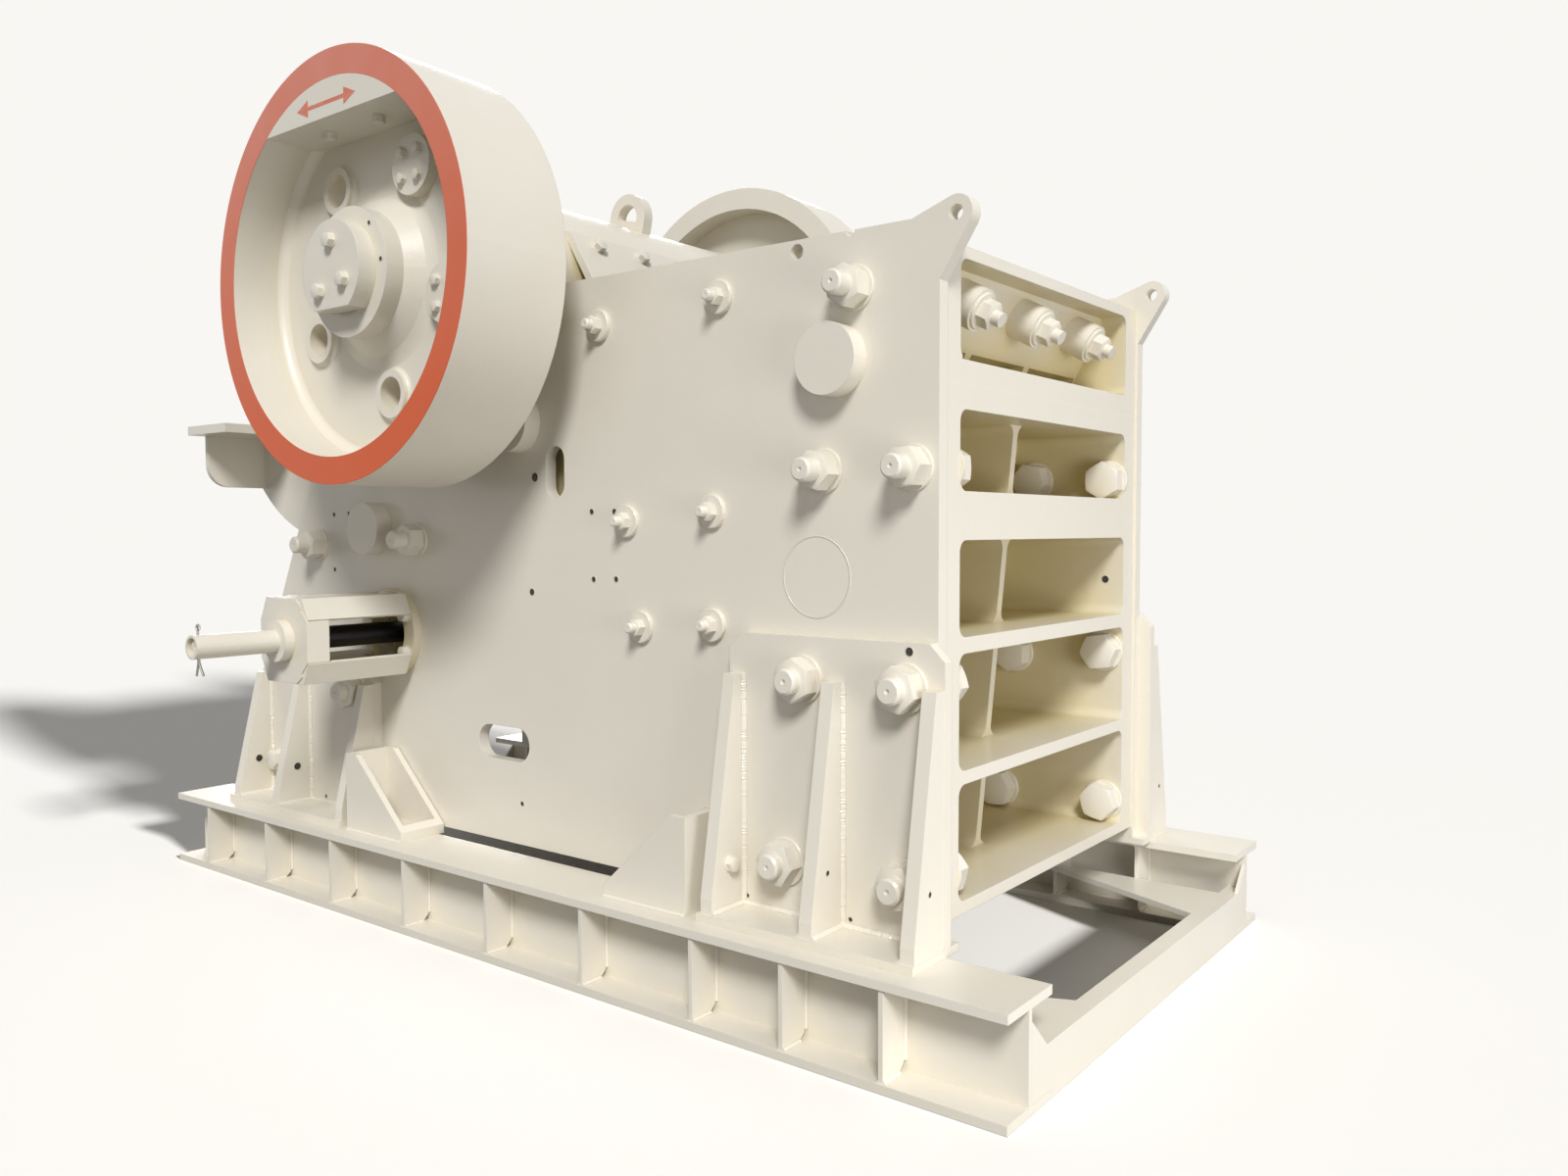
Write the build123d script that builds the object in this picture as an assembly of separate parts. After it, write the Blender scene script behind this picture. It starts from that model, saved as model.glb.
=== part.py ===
from build123d import *
from collections import namedtuple
from math import cos, hypot, radians, sin, tan
import os

# Single-toggle jaw crusher on a welded skid. Millimetres, +Z up, feed end towards +X.
# Pieces are drawn with X = 0 at the front edge of the side plates and moved to the skid's centre at the end.

# Crushing chamber
FEED_WIDTH = 1400
CHEEK_T = 37
CHEEK_GAP = 4
DIE_T = 118
TOOTH_PITCH = 100
TOOTH_DEPTH = 38
FIXED_TOP = (-600, 2400)
FIXED_FOOT = (-835, 720)
MOVING_TOP = (-1601, 2190)
MOVING_FOOT = (-1010, 700)
DIE_SIDE_GAP = 8
CHEEK_SPLIT_Z = 1475
CHEEK_REAR_TOP = -1500
CHEEK_REAR_FOOT = -1245

# Side plates
PLATE_T = 48
PLATE_BOTTOM = 345
PLATE_TOP = 2465
PLATE_REAR = -3640
REAR_SLOPE_FOOT_Z = 1030
REAR_SLOPE_TOP_X = -2930
LUG_X = 52
LUG_RISE = -4
LUG_R = 52
LUG_HOLE_R = 22
LUG_FOOT_DROP = 185
LUG_ROOT = 95
SLOT_X = -1633
SLOT_Z = 1779
SLOT_LENGTH = 193
SLOT_WIDTH = 98
WINDOW_X = -1946
WINDOW_Z = 733
WINDOW_LENGTH = 300
WINDOW_WIDTH = 132
BOSS_PLACES = ((-360, 2079), (-2767, 1572))
NEAR_BOSS = (-1825, 1970)
BOSS_R = 111
BOSS_T = 72
TOP_HOLES = ((-512, 2428, 24), (-310, 2463, 16))

# Front frame end: a ribbed casting between the side plates
CASTING_SETBACK = 10
CASTING_TOP = 2407
CASTING_BOTTOM = 386
CASTING_SIDE_WALL = 94
CASTING_BACK_WALL = 90
WINDOW_SPANS = ((2071, 2370), (1678, 1923), (1236, 1530), (828, 1186), (426, 786))
WINDOW_CORNER_R = 38
MID_RIB_T = 34
MID_RIB_TOP_X = -154
MID_RIB_TOP_Z = 1852
MID_RIB_LEAN = 0.095
CLAMP_WALL_X = -141
CLAMP_TILT = 28
CLAMP_SLOT_H = 80
CLAMP_SLOT_DEPTH = 70
CLAMP_RIB_T = 40
CUP_R = 70
CUP_BORE_R = 54
CUP_LENGTH = 100
CUP_FLOOR = 30
CUP_SPACING = 435
CUP_Z = 2292
STUD_R = 24
STUD_LENGTH = 181

# Shaft, flywheels and pitman barrel
SHAFT_X = -2098
SHAFT_Z = 2482
SHAFT_R = 150
ECCENTRICITY = 20
ECCENTRIC_R = 185
RUNNING_GAP = 0.3
HOUSING_R = 330
HOUSING_FLANGE_R = 420
HOUSING_FLANGE_T = 60
HOUSING_INSET = 30
HOUSING_SEAT_GAP = 1
FLYWHEEL_R = 756
FLYWHEEL_RIM = 99
NEAR_INSIDE_Y = 985
NEAR_WIDTH = 415
NEAR_WEB_INSET = 130
FAR_INSIDE_Y = 800
FAR_WIDTH = 260
FAR_WEB_INSET = 120
FAR_HUB_INSET = 105
FLYWHEEL_HOUSING_GAP = 20
WEB_T = 75
HUB_R = 230
HUB_ROOT_R = 305
HUB_RISE = 140
WEB_HOLE_R = 62
WEB_HOLE_CIRCLE_R = 430
WEB_HOLE_ANGLES = (125, 206, 279)
LIP_R = 88
LIP_T = 22
BALANCE_PLATE_ANGLES = (57, 346)
BALANCE_PLATE_R = 107
BALANCE_PLATE_T = 40
CHORD_DISTANCE = 525
CAP_R = 172
CAP_T = 70
CAP_FLAT = 138
BARREL_R = 425
BARREL_SIDE_GAP = 12
PITMAN_REAR_X = -1690
PITMAN_FOOT_DEPTH = 250
PITMAN_SEAT_HEIGHT = 280
EYE_R = 103
EYE_HOLE_R = 57
EYE_T = 50
EYE_ANGLE = 78
EYE_RISE = 42
EYE_SILL = 31
GUARD_T = 30
GUARD_ANGLE = 32
GUARD_LENGTH = 430
GUARD_TOP = 30
GUARD_HALF = 625
GUARD_RIB_T = 45
GUARD_RIB_LENGTH = 250
GUARD_RIBS = (-450, 0, 450)

# Toggle, adjusting wedges and the rear frame end
TOGGLE_Z = 1135
TOGGLE_T = 70
TOGGLE_WIDTH = 1180
TOGGLE_SLOPE = 8
TOGGLE_GAP = 55
SEAT_T = 60
SEAT_LIP = 8
BEAM_FRONT_X = -2440
BEAM_T = 130
BEAM_HEIGHT = 280
BEAM_SIDE_GAP = 77
LEDGE_T = 70
WEDGE_T = 150
WEDGE_HEIGHT = 240
WEDGE_TAPER = 30
WEDGE_CENTRE_GAP = 40
REAR_END_WALL = 95
REAR_END_BOTTOM = 880
REAR_END_TOP = 1700
REAR_END_INSET = 60
REAR_POCKET_CORNER_R = 45
REAR_POCKET_SPANS = ((960, 1240), (1310, 1620))
REAR_POCKET_REACH = 110
TENSION_Z = 735
TENSION_ROD_R = 32
TENSION_HOLE_R = 75
TENSION_LUG_T = 60
TENSION_LUG_W = 260
SPRING_R = 95
SPRING_COIL_R = 17
SPRING_TURNS = 9
SPRING_GAP = 32
SPRING_SEAT_T = 25
ROD_NUT_R = 60
ROD_NUT_T = 55

# Wedge adjusters outside the side plates
ADJUSTER_PORT_R = 118
ADJUSTER_FLANGE_R = 185
ADJUSTER_FLANGE_T = 38
ADJUSTER_REACH = 410
ADJUSTER_BLOCK = 330
ADJUSTER_BLOCK_T = 95
ADJUSTER_BLOCK_CHAMFER = 85
STRAP_T = 40
STRAP_WIDTH = 250
ADJUSTER_ROD_R = 45
TUBE_R = 45
TUBE_LENGTH = 362
TUBE_COLLAR_R = 82
TUBE_COLLAR_T = 40
TUBE_BORE_R = 35
TUBE_BORE_DEPTH = 90

# Feet and stop boxes
FOOT_PLATE_T = 40
FOOT_BASE_T = 25
FOOT_BASE_W = 215
FOOT_RIB_T = 48
FOOT_RIB_TOP_W = 45
FOOT_RIB_SETBACK = 12
FRONT_FOOT_FRONT = 46
FRONT_FOOT_REAR = -760
FRONT_FOOT_TOP = 1232
FOOT_CORNER = 52
FRONT_RIBS = (-725, -335, 20)
FRONT_RIB_TOP = 1100
REAR_FOOT_FRONT = -2750
REAR_FOOT_TOP = 960
REAR_RIBS = (-3590, -3265, -2775)
REAR_RIB_TOP = 905
STOP_GAP = 48
STOP_LENGTH = 375
STOP_HEIGHT = 320
STOP_TOP = 70
STOP_TOE = 38
STOP_T = 26
STOP_W = 205

# Rear shelf brackets
SHELF_REAR = -3762
SHELF_TOP = 2040
SHELF_T = 40
SHELF_REACH = 306
SHELF_LENGTH = 330
BRACKET_T = 40
BRACKET_TAB_X = -3020
BRACKET_FOOT_Z = 1768
BRACKET_CURVE_END = (-3389, 1548)
BRACKET_CURVE_MID = (-3557, 1614)
BRACKET_CLEAR = 30
GUSSET_T = 25
GUSSET_REACH = 227
GUSSET_R = 100

# Skid
SKID_LENGTH = 4348
SKID_FRONT = 378
RAIL_Y = 947
RAIL_H = PLATE_BOTTOM - FOOT_BASE_T
RAIL_W = 265
RAIL_FLANGE_T = 28
RAIL_WEB_T = 18
STIFFENER_T = 16
STIFFENER_COPE = 30
STIFFENER_EDGE = 6
FRONT_BAYS = (391, 741, 1096)
BAY_PITCH = 497
CROSS_H = 162
CROSS_W = 65
CROSS_FLANGE_T = 22
CROSS_WEB_T = 14
CROSS_GUSSET = 95
CORNER_PLATE_RUN = 755
CORNER_PLATE_W = 313

# Derived places
INNER = FEED_WIDTH / 2 + CHEEK_T
OUTER = INNER + PLATE_T
SKID_REAR = SKID_FRONT - SKID_LENGTH
ECCENTRIC_Z = SHAFT_Z - ECCENTRICITY
BARREL_HALF = FEED_WIDTH / 2 - BARREL_SIDE_GAP
WEDGE_FRONT_X = BEAM_FRONT_X - BEAM_T
REAR_WALL_X = WEDGE_FRONT_X - WEDGE_T
ADJUSTER_X = WEDGE_FRONT_X - WEDGE_T / 2
WEDGE_HALF = INNER - BEAM_SIDE_GAP
LEDGE_Z = TOGGLE_Z - BEAM_HEIGHT / 2
SEAT_FACE_X = PITMAN_REAR_X - SEAT_T
PITMAN_SEAT_Z = TOGGLE_Z + (SEAT_FACE_X - BEAM_FRONT_X) * tan(radians(TOGGLE_SLOPE))
BLOCK_Y = OUTER + ADJUSTER_REACH
RIM_INNER_R = FLYWHEEL_R - FLYWHEEL_RIM
BED_Z = PLATE_BOTTOM - FOOT_BASE_T
CASTING_OPEN = INNER - CASTING_SIDE_WALL
HEAD_FOOT = (WINDOW_SPANS[0][0] + WINDOW_SPANS[1][1]) / 2


def side_plane(y):
    """Drawing plane that looks along +Y: sketch x is X, sketch y is Z."""
    return Plane(origin=(0, y, 0), x_dir=(1, 0, 0), z_dir=(0, -1, 0))


def plate(sketch, y0, y1):
    """Solid of an X-Z sketch between two Y planes."""
    return extrude(side_plane(y1) * sketch, y1 - y0)


def bar(sketch, x0, x1):
    """Solid of a Y-Z sketch between two X planes."""
    return extrude(Plane(origin=(x0, 0, 0), x_dir=(0, 1, 0), z_dir=(1, 0, 0)) * sketch, x1 - x0)


def slab(sketch, z0, z1):
    """Solid of an X-Y sketch between two heights."""
    return extrude(Pos(0, 0, z0) * sketch, z1 - z0)


def outline(*points):
    return make_face(Polyline(*points, close=True))


def drum(x, z, radius, y0, y1):
    """Round bar along Y."""
    return plate(Pos(x, z) * Circle(radius), y0, y1)


def turned(x, z, profile):
    """Solid turned about the Y axis through (x, z), from (radius, y) points."""
    points = [(x + radius, y, z) for radius, y in profile]
    return revolve(make_face(Polyline(*points, close=True)), Axis((x, 0, z), (0, 1, 0)))


def far_side(solid):
    return mirror(solid, about=Plane.XZ)


def both_sides(solid):
    return [solid, far_side(solid)]


def on_line(top, foot, z):
    """X of the line through two (x, z) points at a height."""
    return top[0] + (foot[0] - top[0]) * (z - top[1]) / (foot[1] - top[1])


def offset_line(top, foot, distance):
    """The line through two (x, z) points, moved square to itself towards +X."""
    run = hypot(foot[0] - top[0], foot[1] - top[1])
    shift = ((top[1] - foot[1]) / run * distance, (foot[0] - top[0]) / run * distance)
    return tuple((point[0] + shift[0], point[1] + shift[1]) for point in (top, foot))


Wheel = namedtuple("Wheel", "inside face web_back web_face hub_back hub_face")


def wheel_planes(inside, width, web_inset, hub_inset):
    """Distances of a flywheel's faces from the centre line."""
    web_back = inside + web_inset
    web_face = web_back + WEB_T
    return Wheel(inside, inside + width, web_back, web_face, inside + hub_inset, web_face + HUB_RISE)


NEAR_WHEEL = wheel_planes(NEAR_INSIDE_Y, NEAR_WIDTH, NEAR_WEB_INSET, 0)
FAR_WHEEL = wheel_planes(FAR_INSIDE_Y, FAR_WIDTH, FAR_WEB_INSET, FAR_HUB_INSET)
DIE_SEAT = offset_line(FIXED_TOP, FIXED_FOOT, DIE_T)
PITMAN_SEAT = offset_line(MOVING_TOP, MOVING_FOOT, -DIE_T)
PITMAN_FOOT = offset_line(*PITMAN_SEAT, -PITMAN_FOOT_DEPTH)[1]


def side_plate():
    corners = [
        (0, PLATE_BOTTOM),
        (0, PLATE_TOP),
        (REAR_SLOPE_TOP_X, PLATE_TOP),
        (PLATE_REAR, REAR_SLOPE_FOOT_Z),
        (PLATE_REAR, PLATE_BOTTOM),
    ]
    lug_centre = (LUG_X, PLATE_TOP + LUG_RISE)
    lug_root = Line((0, PLATE_TOP - LUG_FOOT_DROP), (-LUG_ROOT, PLATE_TOP))
    lug_end = Pos(*lug_centre) * Circle(LUG_R)
    face = outline(*corners) + make_hull(lug_end.edges() + lug_root.edges())
    face -= Pos(*lug_centre) * Circle(LUG_HOLE_R)
    face -= Pos(SHAFT_X, SHAFT_Z) * Circle(HOUSING_R + HOUSING_SEAT_GAP)
    face -= Pos(SLOT_X, SLOT_Z) * SlotOverall(SLOT_LENGTH, SLOT_WIDTH, rotation=90)
    face -= Pos(WINDOW_X, WINDOW_Z) * SlotOverall(WINDOW_LENGTH, WINDOW_WIDTH)
    face -= Pos(ADJUSTER_X, TOGGLE_Z) * Circle(ADJUSTER_PORT_R)
    for x, z, radius in TOP_HOLES:
        face -= Pos(x, z) * Circle(radius)
    return plate(face, -OUTER, -INNER)


def clamp_wall_x(z):
    """X of the leaning wall that carries the die clamp cups, at a height."""
    return CLAMP_WALL_X - (CUP_Z - z) * tan(radians(CLAMP_TILT))


def casting_block(z0, z1):
    """Solid front casting between two heights, ahead of the fixed die's seat."""
    face = outline(
        (-CASTING_SETBACK, z0),
        (-CASTING_SETBACK, z1),
        (on_line(*DIE_SEAT, z1), z1),
        (on_line(*DIE_SEAT, z0), z0),
    )
    return plate(face, -INNER, INNER)


def window_pocket(span, y0, y1, depth_at):
    """Round-cornered window from the front, as deep at each height as depth_at says."""
    z0, z1 = span
    mouth = Pos((y0 + y1) / 2, (z0 + z1) / 2) * RectangleRounded(y1 - y0, z1 - z0, WINDOW_CORNER_R)
    tunnel = bar(mouth, on_line(*DIE_SEAT, CASTING_BOTTOM), 0)
    reach = outline((0, z0), (0, z1), (depth_at(z1), z1), (depth_at(z0), z0))
    return tunnel & plate(reach, y0, y1)


def ribbed_front():
    """Lower part of the front casting: windows either side of a leaning mid rib."""
    def rib_x(z):
        return MID_RIB_TOP_X - MID_RIB_LEAN * (MID_RIB_TOP_Z - z)

    def wall_x(z):
        return on_line(*DIE_SEAT, z) + CASTING_BACK_WALL

    casting = casting_block(CASTING_BOTTOM, HEAD_FOOT)
    for span in WINDOW_SPANS[1:]:
        casting -= window_pocket(span, -CASTING_OPEN, CASTING_OPEN, rib_x)
        casting -= window_pocket(span, MID_RIB_T / 2, CASTING_OPEN, wall_x)
        casting -= window_pocket(span, -CASTING_OPEN, -MID_RIB_T / 2, wall_x)
    return casting


def clamp_head():
    """Top of the front casting: one wide window with a leaning wall and a foot slot under each clamp cup."""
    casting = casting_block(HEAD_FOOT, CASTING_TOP)
    casting -= window_pocket(WINDOW_SPANS[0], -CASTING_OPEN, CASTING_OPEN, clamp_wall_x)
    sill = WINDOW_SPANS[0][0]
    lintel = sill + CLAMP_SLOT_H
    slot_x = clamp_wall_x(sill) - CLAMP_SLOT_DEPTH
    slot = outline((slot_x, sill), (-CASTING_SETBACK, sill), (-CASTING_SETBACK, lintel), (slot_x, lintel))
    slot_half = (CUP_SPACING - CLAMP_RIB_T) / 2
    for place in (-1, 0, 1):
        casting -= plate(slot, place * CUP_SPACING - slot_half, place * CUP_SPACING + slot_half)
    return casting


def die_clamp_cups():
    """Cups square to the leaning wall, each round the stud of a die clamp."""
    tilt = radians(CLAMP_TILT)
    cups = []
    for place in (-1, 0, 1):
        base = Plane(
            origin=(CLAMP_WALL_X, place * CUP_SPACING, CUP_Z),
            x_dir=(0, 1, 0),
            z_dir=(cos(tilt), 0, -sin(tilt)),
        )
        cup = extrude(base * Circle(CUP_R), CUP_LENGTH)
        cup -= extrude(base.offset(CUP_FLOOR) * Circle(CUP_BORE_R), CUP_LENGTH - CUP_FLOOR)
        cup += extrude(base * Circle(STUD_R), STUD_LENGTH)
        cups.append(cup)
    return cups


def jaw_die(top, foot, half_width, into_wall):
    """Toothed jaw die. Teeth run down the face; into_wall is +1 if the wall lies towards +X."""
    length = hypot(top[0] - foot[0], top[1] - foot[1])
    count = int(2 * half_width // TOOTH_PITCH)
    margin = half_width - count * TOOTH_PITCH / 2
    flank = TOOTH_PITCH / 4
    profile = [(-half_width, DIE_T), (-half_width, TOOTH_DEPTH), (-half_width + margin, TOOTH_DEPTH)]
    for tooth in range(count):
        start = -half_width + margin + tooth * TOOTH_PITCH
        profile += [
            (start + flank, 0),
            (start + 2 * flank, 0),
            (start + 3 * flank, TOOTH_DEPTH),
            (start + 4 * flank, TOOTH_DEPTH),
        ]
    profile += [(half_width, TOOTH_DEPTH), (half_width, DIE_T)]
    unique = [point for place, point in enumerate(profile) if place == 0 or point != profile[place - 1]]
    down = ((foot[0] - top[0]) / length, 0, (foot[1] - top[1]) / length)
    face = Plane(origin=(top[0], 0, top[1]), x_dir=(0, into_wall, 0), z_dir=down)
    return extrude(face * make_face(Polyline(*unique, close=True)), length)


def fixed_jaw_die():
    return jaw_die(FIXED_TOP, FIXED_FOOT, FEED_WIDTH / 2 - CHEEK_GAP, 1)


def moving_jaw_die():
    return jaw_die(MOVING_TOP, MOVING_FOOT, FEED_WIDTH / 2 - DIE_SIDE_GAP, -1)


def cheek_plate(z0, z1):
    rear_top = (CHEEK_REAR_TOP, FIXED_TOP[1])
    rear_foot = (CHEEK_REAR_FOOT, FIXED_FOOT[1])
    face = outline(
        (on_line(*DIE_SEAT, z0) - CHEEK_GAP, z0),
        (on_line(*DIE_SEAT, z1) - CHEEK_GAP, z1),
        (on_line(rear_top, rear_foot, z1), z1),
        (on_line(rear_top, rear_foot, z0), z0),
    )
    return plate(face, -INNER, -INNER + CHEEK_T)


def bearing_housing(wheel):
    inside = -INNER + HOUSING_INSET
    flange = -OUTER - HOUSING_FLANGE_T
    outside = -wheel.hub_back + FLYWHEEL_HOUSING_GAP
    nose_r = (HOUSING_R + SHAFT_R) / 2
    bore_r = SHAFT_R + RUNNING_GAP
    profile = [
        (bore_r, inside),
        (HOUSING_R, inside),
        (HOUSING_R, -OUTER),
        (HOUSING_FLANGE_R, -OUTER),
        (HOUSING_FLANGE_R, flange),
        (HOUSING_R, flange),
        (nose_r, outside),
        (bore_r, outside),
    ]
    return turned(SHAFT_X, SHAFT_Z, profile)


def plate_bosses():
    bosses = [drum(*NEAR_BOSS, BOSS_R, -OUTER - BOSS_T, -OUTER)]
    for x, z in BOSS_PLACES:
        bosses += both_sides(drum(x, z, BOSS_R, -OUTER - BOSS_T, -OUTER))
    return bosses


def eccentric_shaft():
    shaft = drum(SHAFT_X, SHAFT_Z, SHAFT_R, -NEAR_WHEEL.hub_face, FAR_WHEEL.hub_face)
    return shaft + drum(SHAFT_X, ECCENTRIC_Z, ECCENTRIC_R, -BARREL_HALF, BARREL_HALF)


def flywheel(wheel):
    """Dished flywheel drawn on the near side."""
    profile = [
        (SHAFT_R, -wheel.hub_back),
        (HUB_R, -wheel.hub_back),
        (HUB_R, -wheel.web_back),
        (RIM_INNER_R, -wheel.web_back),
        (RIM_INNER_R, -wheel.inside),
        (FLYWHEEL_R, -wheel.inside),
        (FLYWHEEL_R, -wheel.face),
        (RIM_INNER_R, -wheel.face),
        (RIM_INNER_R, -wheel.web_face),
        (HUB_ROOT_R, -wheel.web_face),
        (HUB_R, -(wheel.web_face + wheel.hub_face) / 2),
        (HUB_R, -wheel.hub_face),
        (SHAFT_R, -wheel.hub_face),
    ]
    casting = turned(SHAFT_X, SHAFT_Z, profile)

    def on_web(angle):
        return (
            SHAFT_X + WEB_HOLE_CIRCLE_R * cos(radians(angle)),
            SHAFT_Z + WEB_HOLE_CIRCLE_R * sin(radians(angle)),
        )

    lip_y = -wheel.web_face - LIP_T
    for angle in WEB_HOLE_ANGLES:
        casting += drum(*on_web(angle), LIP_R, lip_y, -wheel.web_face)
        casting -= drum(*on_web(angle), WEB_HOLE_R, lip_y, -wheel.web_back)
    for angle in BALANCE_PLATE_ANGLES:
        casting += drum(*on_web(angle), BALANCE_PLATE_R, -wheel.web_face - BALANCE_PLATE_T, -wheel.web_face)
    return casting


def counterweight(wheel):
    half_chord = (RIM_INNER_R ** 2 - CHORD_DISTANCE ** 2) ** 0.5
    left = (SHAFT_X - half_chord, SHAFT_Z + CHORD_DISTANCE)
    right = (SHAFT_X + half_chord, SHAFT_Z + CHORD_DISTANCE)
    crown = ThreePointArc(left, (SHAFT_X, SHAFT_Z + RIM_INNER_R), right)
    face = make_face([crown, Line(right, left)])
    return plate(face, -wheel.face, -wheel.web_face)


def hub_cap(wheel):
    """Round cap on the shaft's end with a flat along its foot."""
    face = Pos(SHAFT_X, SHAFT_Z) * Circle(CAP_R)
    face -= Pos(SHAFT_X, SHAFT_Z - CAP_FLAT - CAP_R / 2) * Rectangle(2 * CAP_R, CAP_R)
    return plate(face, -wheel.hub_face - CAP_T, -wheel.hub_face)


def pitman():
    body = outline(
        *PITMAN_SEAT,
        PITMAN_FOOT,
        (PITMAN_REAR_X, PITMAN_SEAT_Z - PITMAN_SEAT_HEIGHT / 2),
        (PITMAN_REAR_X, PITMAN_SEAT_Z + PITMAN_SEAT_HEIGHT / 2),
        (SHAFT_X - BARREL_R / 2, ECCENTRIC_Z),
        (SHAFT_X, ECCENTRIC_Z + BARREL_R / 2),
    )
    face = body + Pos(SHAFT_X, ECCENTRIC_Z) * Circle(BARREL_R)
    face -= Pos(SHAFT_X, ECCENTRIC_Z) * Circle(ECCENTRIC_R + RUNNING_GAP)
    return plate(face, -BARREL_HALF, BARREL_HALF)


def from_barrel(angle):
    """Sketch place on the barrel's axis: local x points out of the barrel at the angle."""
    return Pos(SHAFT_X, ECCENTRIC_Z) * Rot(0, 0, angle)


def pitman_guard():
    """Flat plate that lies against the barrel and hangs over the moving die, on ribs from the barrel."""
    place = from_barrel(GUARD_ANGLE)
    sheet = outline(
        (BARREL_R, GUARD_TOP),
        (BARREL_R + GUARD_T, 0),
        (BARREL_R + GUARD_T, -GUARD_LENGTH),
        (BARREL_R, -GUARD_LENGTH),
    )
    guard = plate(place * sheet, -GUARD_HALF, GUARD_HALF)
    rib = outline((0, 0), (BARREL_R, 0), (BARREL_R, -GUARD_RIB_LENGTH), (0, -GUARD_RIB_LENGTH))
    rib = place * (rib - Circle(BARREL_R))
    for y in GUARD_RIBS:
        guard += plate(rib, y - GUARD_RIB_T / 2, y + GUARD_RIB_T / 2)
    return guard


def lifting_eye():
    """Upright plate on the barrel with a half-round head and a flat-bottomed hole."""
    centre_r = BARREL_R + EYE_RISE
    sill_r = BARREL_R + EYE_SILL
    face = outline((0, -EYE_R), (centre_r, -EYE_R), (centre_r, EYE_R), (0, EYE_R))
    face += Pos(centre_r, 0) * Circle(EYE_R)
    hole = Pos(centre_r, 0) * Circle(EYE_HOLE_R)
    face -= hole - outline((0, -EYE_R), (sill_r, -EYE_R), (sill_r, EYE_R), (0, EYE_R))
    face -= Circle(BARREL_R)
    return plate(from_barrel(EYE_ANGLE) * face, -EYE_T / 2, EYE_T / 2)


def toggle_groove(x, z):
    """Round groove for an end of the toggle, with its centre out from the seat's face."""
    return Pos(x, z) * Circle(TOGGLE_T / 2 + RUNNING_GAP)


def pitman_toggle_seat():
    face = outline(
        (PITMAN_REAR_X, PITMAN_SEAT_Z - PITMAN_SEAT_HEIGHT / 2),
        (PITMAN_REAR_X, PITMAN_SEAT_Z + PITMAN_SEAT_HEIGHT / 2),
        (SEAT_FACE_X, PITMAN_SEAT_Z + PITMAN_SEAT_HEIGHT / 2),
        (SEAT_FACE_X, PITMAN_SEAT_Z - PITMAN_SEAT_HEIGHT / 2),
    )
    return plate(face - toggle_groove(SEAT_FACE_X - SEAT_LIP, PITMAN_SEAT_Z), -WEDGE_HALF, WEDGE_HALF)


def toggle_plate():
    slope = radians(TOGGLE_SLOPE)
    rear_x = BEAM_FRONT_X + SEAT_LIP
    run = (SEAT_FACE_X - SEAT_LIP - TOGGLE_GAP - rear_x) / cos(slope)
    middle = (rear_x + run / 2 * cos(slope), TOGGLE_Z + run / 2 * sin(slope))
    face = Pos(*middle) * SlotCenterToCenter(run, TOGGLE_T, rotation=TOGGLE_SLOPE)
    return plate(face, -TOGGLE_WIDTH / 2, TOGGLE_WIDTH / 2)


def toggle_beam():
    """Seat block for the toggle; its back is a shallow V that the two wedges bear on."""
    face = outline(
        (BEAM_FRONT_X, -WEDGE_HALF),
        (BEAM_FRONT_X, WEDGE_HALF),
        (WEDGE_FRONT_X, WEDGE_HALF),
        (WEDGE_FRONT_X - WEDGE_TAPER, 0),
        (WEDGE_FRONT_X, -WEDGE_HALF),
    )
    beam = slab(face, LEDGE_Z, LEDGE_Z + BEAM_HEIGHT)
    return beam - plate(toggle_groove(BEAM_FRONT_X + SEAT_LIP, TOGGLE_Z), -WEDGE_HALF, WEDGE_HALF)


def adjusting_wedge():
    gap = WEDGE_CENTRE_GAP / 2
    thin_x = WEDGE_FRONT_X - WEDGE_TAPER * (1 - gap / WEDGE_HALF)
    face = outline(
        (WEDGE_FRONT_X, -WEDGE_HALF),
        (thin_x, -gap),
        (REAR_WALL_X, -gap),
        (REAR_WALL_X, -WEDGE_HALF),
    )
    return slab(face, LEDGE_Z, LEDGE_Z + WEDGE_HEIGHT)


def rear_edge_x(z):
    """X of the side plates' rear edge at a height."""
    slope_x = on_line((REAR_SLOPE_TOP_X, PLATE_TOP), (PLATE_REAR, REAR_SLOPE_FOOT_Z), z)
    return max(slope_x, PLATE_REAR)


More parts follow.
